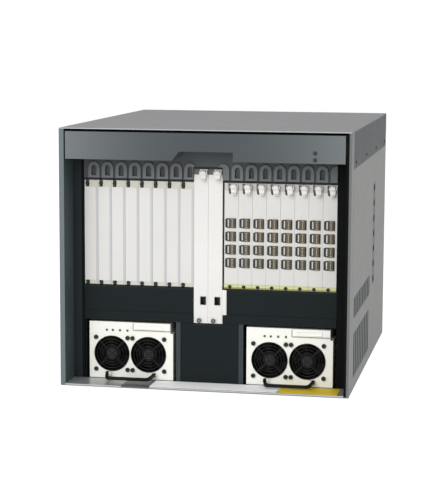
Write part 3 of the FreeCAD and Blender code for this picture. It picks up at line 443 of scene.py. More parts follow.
# Painted shade on the flanges, and deeper painted shade on those beside the fillers.
liner_paint.over(flange, "2b3133")
liner_paint.over(flange * beside_fillers, "0e1011")
# Painted shade: the right side of the lining near black.
liner_paint.over(liner_paint.x > SHADED_X, "050606")
# A painted highlight down the outer edge of the right border.
liner_paint.over((liner_paint.x > liner_high.x - LIT_WIDTH) * border, "6e7070")
wear(liner_paint, "front_liner")

# ---- bezel and lamps ----
# Grey painted cover folded from sheet, with a notch cut in its lower edge over the control cards
# and two dark lenses with flat rims set in holes at the right.
bezel_paint = powder_coat("bezel_paint", "464c4f", 0.5, gloss=0.2)
BEZEL_HALF = 213.0
# Painted light: the sheet is painted lighter towards both ends, as the light falls on it.
from_middle = bezel_paint.x / BEZEL_HALF
bezel_paint.over(from_middle * from_middle, "6c7173")
wear(bezel_paint, "bezel")

lens = Paint("lamp_lens", 0.4, coat=0.1)
lens.coat("0a0f0d", 0.15, 300.0)
wear(lens, "status_lamps")
lamp_low, lamp_high = [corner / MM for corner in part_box("status_lamps")]
LENS_R, LENS_RIM, LENS_STEP = 3.0, 0.6, 0.35
LAMP_IN = 2  # from the end of the lamps' bar to the middle of a lamp
lamp_x = (lamp_low.x + lamp_high.x) / 2
domes = []
for z in (lamp_low.z + LAMP_IN, lamp_high.z - LAMP_IN):
    dome = rod("status_lenses", (lamp_x, lamp_low.y + 0.4, z), (lamp_x, lamp_low.y - 0.2, z), LENS_R, 28)
    pick(dome, facing((0, -1, 0)))
    inset(LENS_RIM)
    for shrink in (0.85, 0.6):
        pull(0, -LENS_STEP, 0)
        stretch((shrink, 1, shrink), (lamp_x, 0, z))
    put_down()
    domes.append(dome)
fasten(weld(*domes), lens, "chassis")

# ---- air intake ----
# Moulded strip over the card row: grey, round-topped hoods on a dark sheet, one between each
# two levers, with an air hole through each.
intake_low, intake_high = [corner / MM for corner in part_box("intake_grille")]
intake_paint = powder_coat("intake_paint", "54585a", gloss=0.15)
HOOD_DEEP, LAST_HOOD_X = 2.9, 196
intake_paint.over(intake_paint.y < intake_low.y + HOOD_DEEP, "6e7274")
intake_paint.over(intake_paint.x > LAST_HOOD_X, "2a2620")
wear(intake_paint, "intake_grille")

# A fine wire cloth behind the plate keeps dust out of the air holes.
cloth = Paint("dust_cloth", 0.6)
cloth.coat("4a4d4e", 0.1, 40.0)
MESH_PITCH, MESH_SQUARED = 1.6, 0.2  # as for the screens
cloth.holes(cloth.x, cloth.z, MESH_PITCH, MESH_SQUARED, "101111")
cloth.grain(900.0, 0.00005)
CLOTH_SIDE, CLOTH_RIM, CLOTH_LOW, CLOTH_HIGH = 8, 1.5, 319.5, 346
screen = slab("intake_cloth", (intake_low.x + CLOTH_SIDE, intake_high.y + 0.1, CLOTH_LOW),
              (intake_high.x - CLOTH_SIDE, intake_high.y + 0.7, CLOTH_HIGH))
pick(screen, lambda place, normal: abs(normal.y) > SQUARE_ON)
inset(CLOTH_RIM)
stretch((1, 0.5, 1), (0, intake_high.y + 0.4, 0))
fasten(screen, cloth, "chassis")

# ---- cage and backplane ----
# Zinc plated guide plates carry the boards; the backplane is a thick laminate board with a
# connector in every slot.
zinc = Paint("cage_zinc", 0.38, metallic=0.85)
zinc.coat("9a9da0", 0.1, 35.0)
CAGE_EDGE = 2.6
zinc.over(zinc.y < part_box("filler_1")[0].y / MM + CAGE_EDGE, "25282a")
zinc.feed("Roughness", 0.3 + 0.2 * zinc.noise(80.0))
zinc.bump(zinc.streaks(300.0, (1.0, 0.02, 1.0)), 0.00002)
wear(zinc, "card_cage")

laminate = Paint("laminate", 0.35, coat=0.3)
laminate.coat("22553a", 0.12, 400.0)
laminate.grain(500.0, 0.00004, detail=2.0)
wear(laminate, "backplane")

# ---- lower panel and power bay ----
# Dark painted sheet under the cards and between the supplies; the bay's partitions end in
# lighter flanges beside the supplies.
wear(powder_coat("panel_paint", "1b2223", 0.55, gloss=0.08), "lower_panel")
bay_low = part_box("power_bay")[0] / MM
bay_paint = powder_coat("bay_paint", "181d1e", gloss=0.08)
BAY_FLANGE = 1.6
bay_paint.over(bay_paint.y < bay_low.y + BAY_FLANGE, "3e4548")
wear(bay_paint, "power_bay")

# ---- sill ----
# Bare brushed metal tread in front of the supplies, with a painted shadow of the bail as a darker patch at
# the left, and a white and a yellow strip of film laid on it.
sill_metal = Paint("sill_metal", 0.35, metallic=0.6)
sill_metal.coat("b8bcbc", 0.08, 14.0)
BAIL_SHADOW_X = (-127.0, -83.0)
# Painted shadow: a darker patch under the bail at the left.
sill_metal.over(sill_metal.inside(sill_metal.x, *BAIL_SHADOW_X), "585c5c")
sill_metal.bump(sill_metal.streaks(260.0, (0.02, 1.0, 1.0)), 0.00002)
wear(sill_metal, "sill")

strip_film = Paint("strip_film", 0.5)
strip_film.shader.inputs["Specular IOR Level"].default_value = 0.2
strip_film.coat("fafbfb", 0.01)
YELLOW_X = 114.0
strip_film.over(strip_film.x > YELLOW_X, "e0c004")
strip_film.grain(600.0, 0.00003)
wear(strip_film, "sill_strips")

# ---- filler panels ----
# Off-white painted sheet with its edges folded back; the two end tabs are a warmer tone, and a
# dark captive screw stands in the notch of each. Behind the face is a carrier blade painted dark, partly as
# painted shade in the gaps; a strip of painted shade runs down the folded right edge.
filler_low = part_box("filler_1")[0] / MM
face_y = filler_low.y
SLOT_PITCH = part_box("filler_2")[0].x / MM - filler_low.x
CARD_Z, CARD_TOP = 152.0, 314.0
TAB_LOW, TAB_HIGH = CARD_Z + 6, CARD_TOP - 10.5
BOARD = (2.9, 4.7)  # a board or blade, from the left edge of its slot
FACE_SHEET = 1.3
FOLD_SHADE, NOTCH = (17.6, 21.5), (1.8, 7.0)  # from the same edge; the first is a strip of painted shade along the folded right edge
FILLER_SCREW_IN, FILLER_SCREW_R = 4.6, 3.1
FILLER_SCREW_Z = (CARD_Z + 3.2, CARD_TOP - 5.0)


def across(paint, start):
    """Distance from the left edge of a slot."""
    return (paint.x - start) % SLOT_PITCH


filler_paint = powder_coat("filler_paint", "d8d7d4")
reach = across(filler_paint, filler_low.x)
tab = (filler_paint.z < TAB_LOW) + (filler_paint.z > TAB_HIGH)
in_front = filler_paint.y < face_y + FACE_SHEET
behind = filler_paint.y > face_y + FACE_SHEET
filler_paint.over(tab, "c9c9bb")
# The carrier blade is painted dark, partly as painted shade in the gaps between the panels.
filler_paint.over(filler_paint.inside(reach, *BOARD) * behind, "2e2e2c")
# Painted shade: a greyer strip down the folded right edge.
filler_paint.over(filler_paint.inside(reach, *FOLD_SHADE) * (filler_paint.z < TAB_HIGH), "c0bfc1")
filler_paint.over(tab * filler_paint.inside(reach, *NOTCH) * in_front, "45443c")
fillers = ["filler_%d" % i for i in range(1, 9)]
wear(filler_paint, *fillers)

seats = [(filler_low.x + FILLER_SCREW_IN, face_y + 0.9, z) for z in FILLER_SCREW_Z]
heads = screws("filler_screws_1", seats, (0, -1.7, 0), FILLER_SCREW_R)
first = fasten(heads, black_screw, "filler_1")
for i, name in enumerate(fillers[1:], 1):
    another(first, "filler_screws_%d" % (i + 1), (i * SLOT_PITCH, 0, 0), name)

# ---- port cards ----
# Each card has a painted face with four transceivers in metal cages, a dust plug in each, a dark
# window beside it and a pale folded foot with a screw. The circuit board is behind the face.
port_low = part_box("port_card_1")[0] / MM
PORT_IN, PORT_PITCH, PORT_FIRST = 12.6, 20.3, 191.8  # middle of the lowest port, and the step up
PORT_ROWS = (180.0, 262.0)
FOOT_TOP, FOOT_FOLD = CARD_Z + 7, CARD_Z + 2.4
BOARD_FRONT = face_y + 8.1
SKIN = (face_y - 0.2, face_y + 0.3)  # depths that belong to a card's face
port_cards = ["port_card_%d" % i for i in range(1, 9)]
port_paint = powder_coat("port_card_paint", "d4d3d0")
rows = port_paint.inside(port_paint.z, *PORT_ROWS)
port_paint.over(port_paint.z < FOOT_TOP, "c9cc9c")
port_paint.over(port_paint.z < FOOT_FOLD, "90924a")
port_paint.over((port_paint.y < SKIN[0]) * rows, "4a4238")
reach = across(port_paint, port_low.x)
port_paint.over(port_paint.inside(reach, *BOARD) * (port_paint.y > BOARD_FRONT), "24573a")
LEVER_IN = (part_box("port_lever_1")[0].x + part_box("port_lever_1")[1].x) / 2 / MM - port_low.x
pin_z = CARD_TOP - 5.0
on_face = port_paint.inside(port_paint.y, *SKIN)

# Each port has a frame whose short ends lie left of it, above and below the window.
FRAME_HALF, FRAME_BAR, FRAME_REACH = 7.6, 2.2, (3.5, 8.5)
up = (port_paint.z - (PORT_FIRST - FRAME_HALF)) % PORT_PITCH
ends = (up < FRAME_BAR) + port_paint.inside(up, 2 * FRAME_HALF - FRAME_BAR, 2 * FRAME_HALF)
port_paint.over(on_face * ends * port_paint.inside(reach, *FRAME_REACH) * rows, "57503f")

# The top end is greyer, with a dark slot and a dark round spot left of the lever: the gap round the lever,
# with its shade painted in.
TOP_END, SLOT_TOP = pin_z - 7, pin_z + 4.4
SLOT_LEFT, SLOT_RIGHT = LEVER_IN - 8.9, LEVER_IN - 5.6
DARK_SPOT_IN, DARK_SPOT_Z, DARK_SPOT_R = LEVER_IN - 5.4, pin_z - 9.0, 3.0
port_paint.over(on_face * (port_paint.z > TOP_END), "c4c0bb")
slot = port_paint.inside(reach, SLOT_LEFT, SLOT_RIGHT) * port_paint.inside(port_paint.z, TOP_END, SLOT_TOP)
# Painted shade in the gap left of the lever.
port_paint.over(on_face * slot, "38352f")
aside, up = reach - DARK_SPOT_IN, port_paint.z - DARK_SPOT_Z
port_paint.over(on_face * (aside * aside + up * up < DARK_SPOT_R ** 2), "38352f")
wear(port_paint, *port_cards)

# The foot's screw, the cages with their plugs, and the windows are one piece on each card.
plug_paint = powder_coat("plug_plastic", "665545", 0.42, 0.12, gloss=0.3)
reach = across(plug_paint, port_low.x)
LOWER_ROWS = 222.0
CAGE_SIDES, GRIP_REACH, WINDOW_REACH = (8.8, 16.3), (11.0, 14.2), 6.2
plug_paint.over(plug_paint.z < LOWER_ROWS, "5c5a45")
plug_paint.over(plug_paint.x < port_low.x + 2 * SLOT_PITCH, "625c4e")
# The cage's sides are dark steel, darkened further with painted shade beside the plug.
plug_paint.over((reach < CAGE_SIDES[0]) + (reach > CAGE_SIDES[1]), "2a241e")
# The grip's lighter front is partly its own tone and partly a painted highlight.
plug_paint.over(plug_paint.inside(reach, *GRIP_REACH) * (plug_paint.y < face_y - 2.4), "a39a86")
plug_paint.over(reach < WINDOW_REACH, "2c2e2c")

PORT_X, PORT_Z = 5.35, 7.45  # half sizes, as the four below
GRIP_X, GRIP_Z = 1.1, 4.2
WINDOW_X, WINDOW_Z, WINDOW_IN = 1.75, 6.5, 3.25
x, z = port_low.x + PORT_IN, PORT_FIRST
port = slab("port_fronts_1", (x - PORT_X, face_y - 1.6, z - PORT_Z), (x + PORT_X, face_y + 0.1, z + PORT_Z))
pick(port, facing((0, -1, 0)))
terrace((0.95, 0.4), (0.35, -1.5), (1.3, 0.7))  # rim of the cage, gap round the plug, panel in it
rounded(port, 0.25, 2)
grip = slab("grip", (x - GRIP_X, face_y - 3.2, z - GRIP_Z), (x + GRIP_X, face_y - 1.9, z + GRIP_Z))
pick(grip, facing((0, -1, 0)))
stretch((0.6, 1, 0.85), (x, face_y, z))
rounded(grip, 0.3, 2)
x = port_low.x + WINDOW_IN
window = slab("window", (x - WINDOW_X, face_y - 0.7, z - WINDOW_Z),
              (x + WINDOW_X, face_y + 0.1, z + WINDOW_Z))
pick(window, facing((0, -1, 0)))
terrace((0.45, 0.3))
rounded(window, 0.15, 1)
port = repeat(weld(port, grip, window), [(0, 0, PORT_PITCH)] * 3)
fasten(port, plug_paint, "port_card_1")

FOOT_SCREW_IN, FOOT_SCREW_UP, FOOT_SCREW_R = 9.2, 3, 2.8
seat = (port_low.x + FOOT_SCREW_IN, face_y - 1.7, CARD_Z + FOOT_SCREW_UP)
foot_screw = screws("foot_screw_1", [seat], (0, -1.0, 0), FOOT_SCREW_R)
fasten(foot_screw, black_screw, "port_card_1")
for i, name in enumerate(port_cards[1:], 1):
    move = (i * SLOT_PITCH, 0, 0)
    another(port, "port_fronts_%d" % (i + 1), move, name)
    another(foot_screw, "foot_screw_%d" % (i + 1), move, name)

# ---- ejector levers ----
# White moulded levers on pins at the top of each card: a round head, an arm down the face and a
# ribbed lip for the finger.
lever_plastic = powder_coat("lever_plastic", "e4e3df", 0.35, 0.03)
lever_low, lever_high = [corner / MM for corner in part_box("port_lever_1")]
LEVER_Y = face_y - 4.6
LEVER_GROWN, HEAD_R, ARM = 0.2, 4.15, 4.6
CUT_DOWN, CUT_HALF = 1.2, 3.97  # where the head is cut under its middle, and half its depth there
NECK, LIP_UP, LIP_OUT = 3.0, 3.4, 2.0
OVAL, OVAL_LEAST = 2.6, 0.5  # power of the oval, and the least share of the width at its ends
lever_x = (lever_low.x + lever_high.x) / 2
x0, x1 = lever_low.x - LEVER_GROWN, lever_high.x + LEVER_GROWN
back, end = lever_high.y, lever_low.z


def pick_points(piece, test):
    """Opens a piece for editing with those points selected whose place passes test."""
    take(piece)
    bpy.ops.object.mode_set(mode="EDIT")
    bpy.ops.mesh.select_mode(type="VERT")
    bpy.ops.mesh.select_all(action="DESELECT")
    bpy.ops.object.mode_set(mode="OBJECT")
    for point in piece.data.vertices:
        point.select = bool(test(point.co / MM))
    bpy.ops.object.mode_set(mode="EDIT")


lever = rod("lever_1", (x0, LEVER_Y, pin_z), (x1, LEVER_Y, pin_z), HEAD_R, 24)
pick(lever, lambda place, normal: True)
bpy.ops.mesh.bisect(plane_co=Vector((0, 0, pin_z - CUT_DOWN)) * MM, plane_no=(0, 0, 1),
                    clear_inner=True, use_fill=True)
pick(lever, facing((0, 0, -1)))
pull(0, 0, -NECK)
stretch((1, ARM / 2 / CUT_HALF, 1), (0, back, 0))
for share in (0.35, 0.27, 0.18, 0.12, 0.08):
    pull(0, 0, (end - pin_z + CUT_DOWN + NECK) * share)
pick(lever, lambda place, normal: normal.y < -SQUARE_ON and place.z < end + LIP_UP)
pull(0, -LIP_OUT, 0)

# Seen from the front, the lever is an oval: each row of points is drawn in by its height.
middle_z, half = (pin_z + HEAD_R + end) / 2, (pin_z + HEAD_R - end) / 2
for z in sorted({round(point.co.z / MM, 2) for point in lever.data.vertices}):
    share = max(OVAL_LEAST, 1 - min(1, abs(z - middle_z) / half) ** OVAL) ** (1 / OVAL)
    pick_points(lever, lambda place: abs(place.z - z) < 0.02)
    stretch((share, 1, 1), (lever_x, 0, 0))
rounded(lever, 0.7, 2)
RIB_HALF = 2.2
ribs = slab("ribs", (lever_x - RIB_HALF, lever_low.y + 0.4, end + 1.2),
            (lever_x + RIB_HALF, lever_low.y + 1.6, end + 1.6))
repeat(rounded(ribs, 0.15, 1), [(0, 0, 0.8)] * 2)
lever = fasten(weld(lever, ribs), lever_plastic, "port_lever_1")
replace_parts(lever, "port_lever_1")
for name in ["port_lever_%d" % i for i in range(2, 9)] + ["control_lever_1", "control_lever_2"]:
    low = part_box(name)[0] / MM
    move = (low.x - lever_low.x, 0, low.z - lever_low.z)
    made = another(lever, name.replace("lever", "ejector"), move, name)
    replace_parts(made, name)
lever.name = "port_ejector_1"

# ---- control cards ----
# Two taller cards in the middle, each with a shielded network socket and a knurled captive screw
# near its lower end. A pale strip closes the gap beside them.
control_low, control_high = [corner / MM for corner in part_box("control_card_1")]
CONTROL_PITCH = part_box("control_card_2")[0].x / MM - control_low.x
control_paint = powder_coat("control_paint", "e1e0dd")
reach = (control_paint.x - control_low.x) % CONTROL_PITCH
control_paint.over(control_paint.inside(reach, *BOARD) * (control_paint.y > BOARD_FRONT), "24573a")
lever_middle = (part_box("control_lever_1")[0].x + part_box("control_lever_1")[1].x) / 2 / MM - control_low.x
HEAD_ROOM, HEAD_DOWN = 5.8, 10  # half the space that the lever takes, and the height of the top end
beside = (reach < lever_middle - HEAD_ROOM) + (reach > lever_middle + HEAD_ROOM)
top_end = control_paint.inside(control_paint.y, *SKIN) * (control_paint.z > control_high.z - HEAD_DOWN)
control_paint.over(beside * top_end, "5c5c52")
wear(control_paint, "control_card_1", "control_card_2")
CONTROL_Z = 96.5

shield = Paint("socket_shield", 0.35, metallic=0.4)
shield.coat("1d1d1e", 0.1, 200.0)
shield.over(shield.y < SKIN[0], "b9babb")
shield.grain(500.0, 0.00003)
SOCKET_IN, SOCKET_UP, SOCKET_DEEP = 14.6, 35.0, 11.0
SOCKET_X, SOCKET_Z, SHIELD_SHEET = 4.5, 6.4, 0.45  # half sizes and the thickness of the sheet
x, z = control_low.x + SOCKET_IN, CONTROL_Z + SOCKET_UP
socket = slab("network_shield_1", (x - SOCKET_X, face_y - 0.6, z - SOCKET_Z),
              (x + SOCKET_X, face_y + SOCKET_DEEP, z + SOCKET_Z))
pick(socket, facing((0, -1, 0)))
terrace((SHIELD_SHEET, SOCKET_DEEP))
pick(socket, lambda place, normal: True)
bpy.ops.mesh.bisect(plane_co=Vector((0, face_y - 0.05, 0)) * MM, plane_no=(0, 1, 0))
pick(socket, lambda place, normal: (place.y < face_y - 0.1
                                    and (place.x - x) * normal.x + (place.z - z) * normal.z > 2))
bpy.ops.mesh.extrude_region_shrink_fatten(TRANSFORM_OT_shrink_fatten={"value": -0.5 * MM})
put_down()
socket = fasten(socket, shield, "control_card_1")

gold = Paint("contact_gold", 0.25, metallic=1.0)
gold.coat("c9a24a", 0.08, 300.0)
gold.grain(600.0, 0.00002)
CONTACT_PITCH, CONTACT_COPIES, CONTACT_BEND = 1.05, 7, 1.2
contacts = slab("network_contacts_1", (x + 1.6, face_y + 2.5, z - 3.9), (x + 3.4, face_y + 10.0, z - 3.45))
pick(contacts, facing((0, -1, 0)))
bpy.ops.transform.translate(value=Vector((CONTACT_BEND, 0, 0)) * MM)
rounded(contacts, 0.1, 1)
repeat(contacts, [(0, 0, CONTACT_PITCH)] * CONTACT_COPIES)
contacts = fasten(contacts, gold, "control_card_1")

KNOB_IN, KNOB_UP = 8.6, 4.2
KNOB_R, KNURLS, KNURL = 3.35, 24, 0.3
x, z = control_low.x + KNOB_IN, CONTROL_Z + KNOB_UP
knob = rod("captive_screw_1", (x, face_y + 0.1, z), (x, face_y - 3.7, z), KNOB_R, KNURLS)
KNURL_TURN = math.tau / KNURLS
pick(knob, lambda place, normal: (abs(normal.y) < 0.1
                                  and math.atan2(normal.z, normal.x) // KNURL_TURN % 2 == 0))
bpy.ops.mesh.extrude_region_shrink_fatten(TRANSFORM_OT_shrink_fatten={"value": KNURL * MM})
pick(knob, facing((0, -1, 0)))
terrace((0.5, -0.5), (1.2, 0.9))
rounded(knob, 0.12, 1)
knob = fasten(knob, screw_steel, "control_card_1")
for made in (socket, contacts, knob):
    another(made, made.name[:-1] + "2", (CONTROL_PITCH, 0, 0), "control_card_2")

BLANK_WIDTH, BLANK_TOP = 6.8, CARD_Z - 2.8
x0 = control_low.x + 2 * CONTROL_PITCH
blank = slab("control_blank", (x0, face_y - 1.0, CONTROL_Z), (x0 + BLANK_WIDTH, face_y + 0.1, BLANK_TOP))
pick(blank, facing((0, -1, 0)))
terrace((0.8, -0.4))
fasten(rounded(blank, 0.3), lever_plastic, "chassis")

# ---- circuit boards ----
# Parts soldered on each card's board: packages with a chamfered lid, a finned heat sink and
# a row of capacitors. They show when a card is drawn out.
epoxy = Paint("package_epoxy", 0.5)
epoxy.coat("19191b", 0.15, 200.0)
epoxy.grain(800.0, 0.00003)
aluminium = Paint("sink_aluminium", 0.4, metallic=0.9)
aluminium.coat("a7aaad", 0.08, 60.0)
aluminium.bump(aluminium.streaks(300.0, (1.0, 0.02, 1.0)), 0.00003)
LID_SHARE = 0.94
BOARD_FACE = 4.5  # from the slot's left edge, just inside the board


def package(y, z, long, tall, height):
    """A moulded package on the right face of the first card's board."""
    x = port_low.x + BOARD_FACE
    made = slab("package", (x, y, z), (x + height, y + long, z + tall))
    pick(made, facing((1, 0, 0)))
    stretch((1, LID_SHARE, LID_SHARE), (x, y + long / 2, z + tall / 2))
    inset(1.2)
    pull(-0.2, 0, 0)
    put_down()
    return made


# Each package's place and size in y and z, and its height off the board.
chips = [package(-80, 172, 34, 34, 2.6), package(-30, 262, 22, 22, 2.2), package(-30, 226, 22, 22, 2.2)]
chips.append(repeat(package(-34, 164, 12, 10, 1.6), [(0, 0, 13)] * 3))
chips.append(repeat(package(16, 170, 10, 16, 1.6), [(0, 0, 24)] * 4))
chips = fasten(weld(*chips), epoxy, "port_card_1")

SINK_BASE, FIN_TOP, FIN_PITCH, FIN_COPIES = 3, 12, 3.9, 12
CAN_R, CAN_TOP, CAN_PITCH = 3.6, 9, 9.5
x = port_low.x + BOARD_FACE
sink = slab("card_sink_1", (x, -126, 222), (x + SINK_BASE, -76, 282))
pick(sink, facing((1, 0, 0)))
inset(1.0)
pull(0.6, 0, 0)
fin = slab("fin", (x + SINK_BASE, -124, 224), (x + FIN_TOP, -122.8, 280))
rounded(fin, 0.3, 1)
repeat(fin, [(0, FIN_PITCH, 0)] * FIN_COPIES)
can = rod("can", (x, -140, 176), (x + CAN_TOP, -140, 176), CAN_R, 20)
pick(can, facing((1, 0, 0)))
inset(0.6)
pull(-0.3, 0, 0)
rounded(can, 0.4, 2)
repeat(can, [(0, 0, CAN_PITCH)] * 3)
sink = fasten(weld(sink, fin, can), aluminium, "port_card_1")
chips.name, sink.name = "card_packages_1", "card_sink_1"
for i, name in enumerate(port_cards[1:], 1):
    another(chips, "card_packages_%d" % (i + 1), (i * SLOT_PITCH, 0, 0), name)
    another(sink, "card_sink_%d" % (i + 1), (i * SLOT_PITCH, 0, 0), name)
for i in (1, 2):
    shift = (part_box("control_card_%d" % i)[0].x / MM - port_low.x, 0, 0)
    another(chips, "control_packages_%d" % i, shift, "control_card_%d" % i)
    another(sink, "control_sink_%d" % i, shift, "control_card_%d" % i)

# ---- supplies ----
# Cream painted cases. Behind the face are two fans with black wire guards, held by four black
# screws each; a raised bar, a row of small lamps and a black bail are on the face.
SMALL_FAN_X, SMALL_FAN_UP, SMALL_FAN_R = (-30.8, 27.6), 39.0, 27.8
FAN_SCREW_PLACE, FAN_SCREW_R = 25.2, 3.5
BAR_LEFT, BAR_RIGHT, BAR_LOW, BAR_HIGH = 64.2, 3.0, 13.2, 1.0  # from the case's top right corner
cream = powder_coat("supply_paint", "f5f5ed", 0.45, 0.02)
supply_boxes = {}
for side in ("left", "right"):
    low, high = [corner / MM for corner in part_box("supply_" + side)]
    supply_boxes[side] = (low, high, (low.x + high.x) / 2)
fan_z = supply_boxes["left"][0].z + SMALL_FAN_UP
for low, high, middle in supply_boxes.values():
    for dx in SMALL_FAN_X:
        cream.over(cream.disc(middle + dx, fan_z, SMALL_FAN_R + 0.3), "111112")
    # Painted shadow: a grey line round the raised bar on the face.
    bar_shadow = (cream.inside(cream.x, high.x - BAR_LEFT, high.x - BAR_RIGHT)
            * cream.inside(cream.z, high.z - BAR_LOW, high.z - BAR_HIGH))
    cream.over(bar_shadow * cream.inside(cream.y, face_y - 0.3, face_y + 0.3), "a2a298")
wear(cream, "supply_left", "supply_right")

black = powder_coat("black_plastic", "101010", 0.45, 0.1, gloss=0.25)
WIRE_STEP = 1.6  # from wire to wire where they cross, in wire radii


def wire_ring(name, x, y, z, radius, wire):
    """A ring of bent wire round a line along Y, slightly flattened where it was pressed."""
    put_down()
    bpy.ops.mesh.primitive_torus_add(location=Vector((x, y, z)) * MM, rotation=(math.pi / 2, 0, 0),
                                     major_segments=48, minor_segments=8,
                                     major_radius=radius * MM, minor_radius=wire * MM)
    made = settle(name)
    pick(made, lambda place, normal: abs(normal.y) > 0.8)
    stretch((1, 0.9, 1), (x, y, z))
    put_down()
    return made


def wire_guard(name, x, y, z, radius, wire, rings, reach, out, eyes):
    """A fan guard: rings welded on two wires that cross, which may end in eyes for screws.

    reach is half the length of a crossing wire. out is 1 where the front looks along -Y and -1
    where it looks along +Y. eyes is the radius of the eyes, or 0 for none.
    """
    made = []
    for i in range(rings):
        made.append(wire_ring("ring", x, y, z, radius * (i + 1) / rings, wire))
    for turn in (45, 135):
        away = Vector((math.cos(math.radians(turn)), 0, math.sin(math.radians(turn))))
        hub = Vector((x, y - WIRE_STEP * wire * out, z))
        spoke = rod("spoke", hub - away * reach, hub + away * reach, wire, 8)
        pick(spoke, lambda place, normal: abs(normal.dot(away)) > SQUARE_ON)
        bpy.ops.transform.translate(value=Vector((0, WIRE_STEP * wire * out, 0)) * MM)
        made.append(spoke)
        if eyes:
            for end in (hub - away * reach, hub + away * reach):
                made.append(wire_ring("eye", end.x, y, end.z, eyes, wire))
    guard = weld(*made)
    guard.name = name
    return guard


GUARD_R, GUARD_WIRE, GUARD_RINGS = 27.6, 0.6, 6
middle = supply_boxes["left"][2]
guards = []
for dx in SMALL_FAN_X:
    guards.append(wire_guard("guard", middle + dx, face_y - 0.8, fan_z, GUARD_R, GUARD_WIRE, GUARD_RINGS,
                             GUARD_R, 1, 0))
guards = fasten(weld(*guards), black, "supply_left")
seats = []
for dx in SMALL_FAN_X:
    for corner_x in (-FAN_SCREW_PLACE, FAN_SCREW_PLACE):
        for corner_z in (-FAN_SCREW_PLACE, FAN_SCREW_PLACE):
            seats.append((middle + dx + corner_x, face_y + 0.1, fan_z + corner_z))
heads = screws("fan_screws_left", seats, (0, -2.6, 0), FAN_SCREW_R)
fan_screws = fasten(heads, black_screw, "supply_left")

supply_lens = Paint("supply_lens", 0.2, coat=0.5)
supply_lens.coat("4f5844", 0.15, 300.0)
supply_lens.grain(300.0, 0.00002)
DOT_Z, DOT_R, DOT_IN = 80, 2.0, (28.0, 37.5, 49.0, 61.0)
low = supply_boxes["left"][0]
dots = []
for place in DOT_IN:
    dot = rod("dot", (low.x + place, face_y + 0.1, DOT_Z), (low.x + place, face_y - 0.5, DOT_Z), DOT_R, 16)
    pick(dot, facing((0, -1, 0)))
    terrace((0.4, -0.4))
    dots.append(rounded(dot, 0.15, 2))
dots = fasten(weld(*dots), supply_lens, "supply_left")

# A shallow grip is sunk in the raised bar.
GRIP_LEFT, GRIP_RIGHT, GRIP_LOW, GRIP_HIGH = 56, 16, 83.2, 90.5
right_x = supply_boxes["left"][1].x
grip = slab("grip", (right_x - GRIP_LEFT, face_y - 4.2, GRIP_LOW),
            (right_x - GRIP_RIGHT, face_y - 2.9, GRIP_HIGH))
pick(grip, facing((0, -1, 0)))
terrace((1.6, 0.6))
grip = fasten(rounded(grip, 0.4), cream, "supply_left")

guards.name, dots.name, grip.name = "fan_guards_left", "supply_lamps_left", "supply_grip_left"
move = (supply_boxes["right"][2] - middle, 0, 0)
for made in (guards, fan_screws, dots, grip):
    another(made, made.name.replace("left", "right"), move, "supply_right")

# The bails are bent from round black rod. The inlets and the switch have the same plastic.
wear(black, "supply_bail_left", "supply_bail_right", "inlet_sockets", "power_switch")

# ---- rotors ----
# Moulded in black plastic: a cup over the motor with a soft front edge, and five swept, twisted
# blades that run just inside the duct. The supplies have small ones, the rear modules big ones.
rotor_black = powder_coat("rotor_plastic", "111111", 0.45, 0.1, gloss=0.2)
LEAN = math.radians(9)
PITCH = math.radians(40)
CUTS, TWIST, UNTWIST = 5, 1.12, 0.04  # cuts across a blade, its turn at the hub and the loss at each cut
SMALL_HUB_R, SMALL_TIP_R = 11.5, 26.4
BIG_HUB_R, BIG_TIP_R = 22.0, 54.0
BLADES, BLADE_HALF = 5, 0.65
BLADE_DEEP, ROOT = 0.86, 0.93  # shares of the rotor's depth and of the hub's radius


def fan(name, node, hub, tip, count, front):
    """A rotor in the place of a CAD rotor. front is the side on which the cup is closed."""
    low, high = [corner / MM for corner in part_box(node)]
    deep = high.y - low.y
    y = (low.y + high.y) / 2
    x, z = fan_middles[node]
    cup = rod("cup", (x, low.y, z), (x, high.y, z), hub, 48)
    pick(cup, facing((0, front, 0)))
    terrace((hub * 0.2, -0.8 * front), (hub * 0.25, 0.5 * front))
    rounded(cup, deep * 0.08, 3)
    half_chord = deep * BLADE_DEEP / math.sin(PITCH) / 2
    root = hub * ROOT
    spread = half_chord * math.cos(PITCH) + 2 * BLADE_HALF + (tip - root) * math.tan(LEAN)
    end = math.sqrt(tip * tip - spread * spread)
    blade = slab("blade", (x + root, y - BLADE_HALF, z - half_chord),
                 (x + end, y + BLADE_HALF, z + half_chord))
    pick(blade, lambda place, normal: True)
    bpy.ops.mesh.subdivide(number_cuts=CUTS)
    turn = Vector((x, y, z)) * MM
    for i in range(CUTS + 2):
        station = root + (end - root) * i / (CUTS + 1)
        twist = -(math.pi / 2 - PITCH) * (TWIST - UNTWIST * i)
        pick_points(blade, lambda place: abs(place.x - x - station) < 0.3)
        bpy.ops.transform.rotate(value=twist, orient_axis="X", center_override=turn)
        bpy.ops.transform.translate(value=(0, 0, (station - root) * math.tan(LEAN) * MM))
    rounded(blade, 0.4, 2)
    blades = [blade]
    for i in range(1, count):
        take(blade)
        bpy.ops.object.duplicate()
        bpy.ops.transform.rotate(value=math.tau * i / count, orient_axis="Y", center_override=turn)
        blades.append(settle("blade"))
    made = weld(cup, *blades)
    made.name = name
    fasten(made, rotor_black, node)
    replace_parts(made, node)
    return made


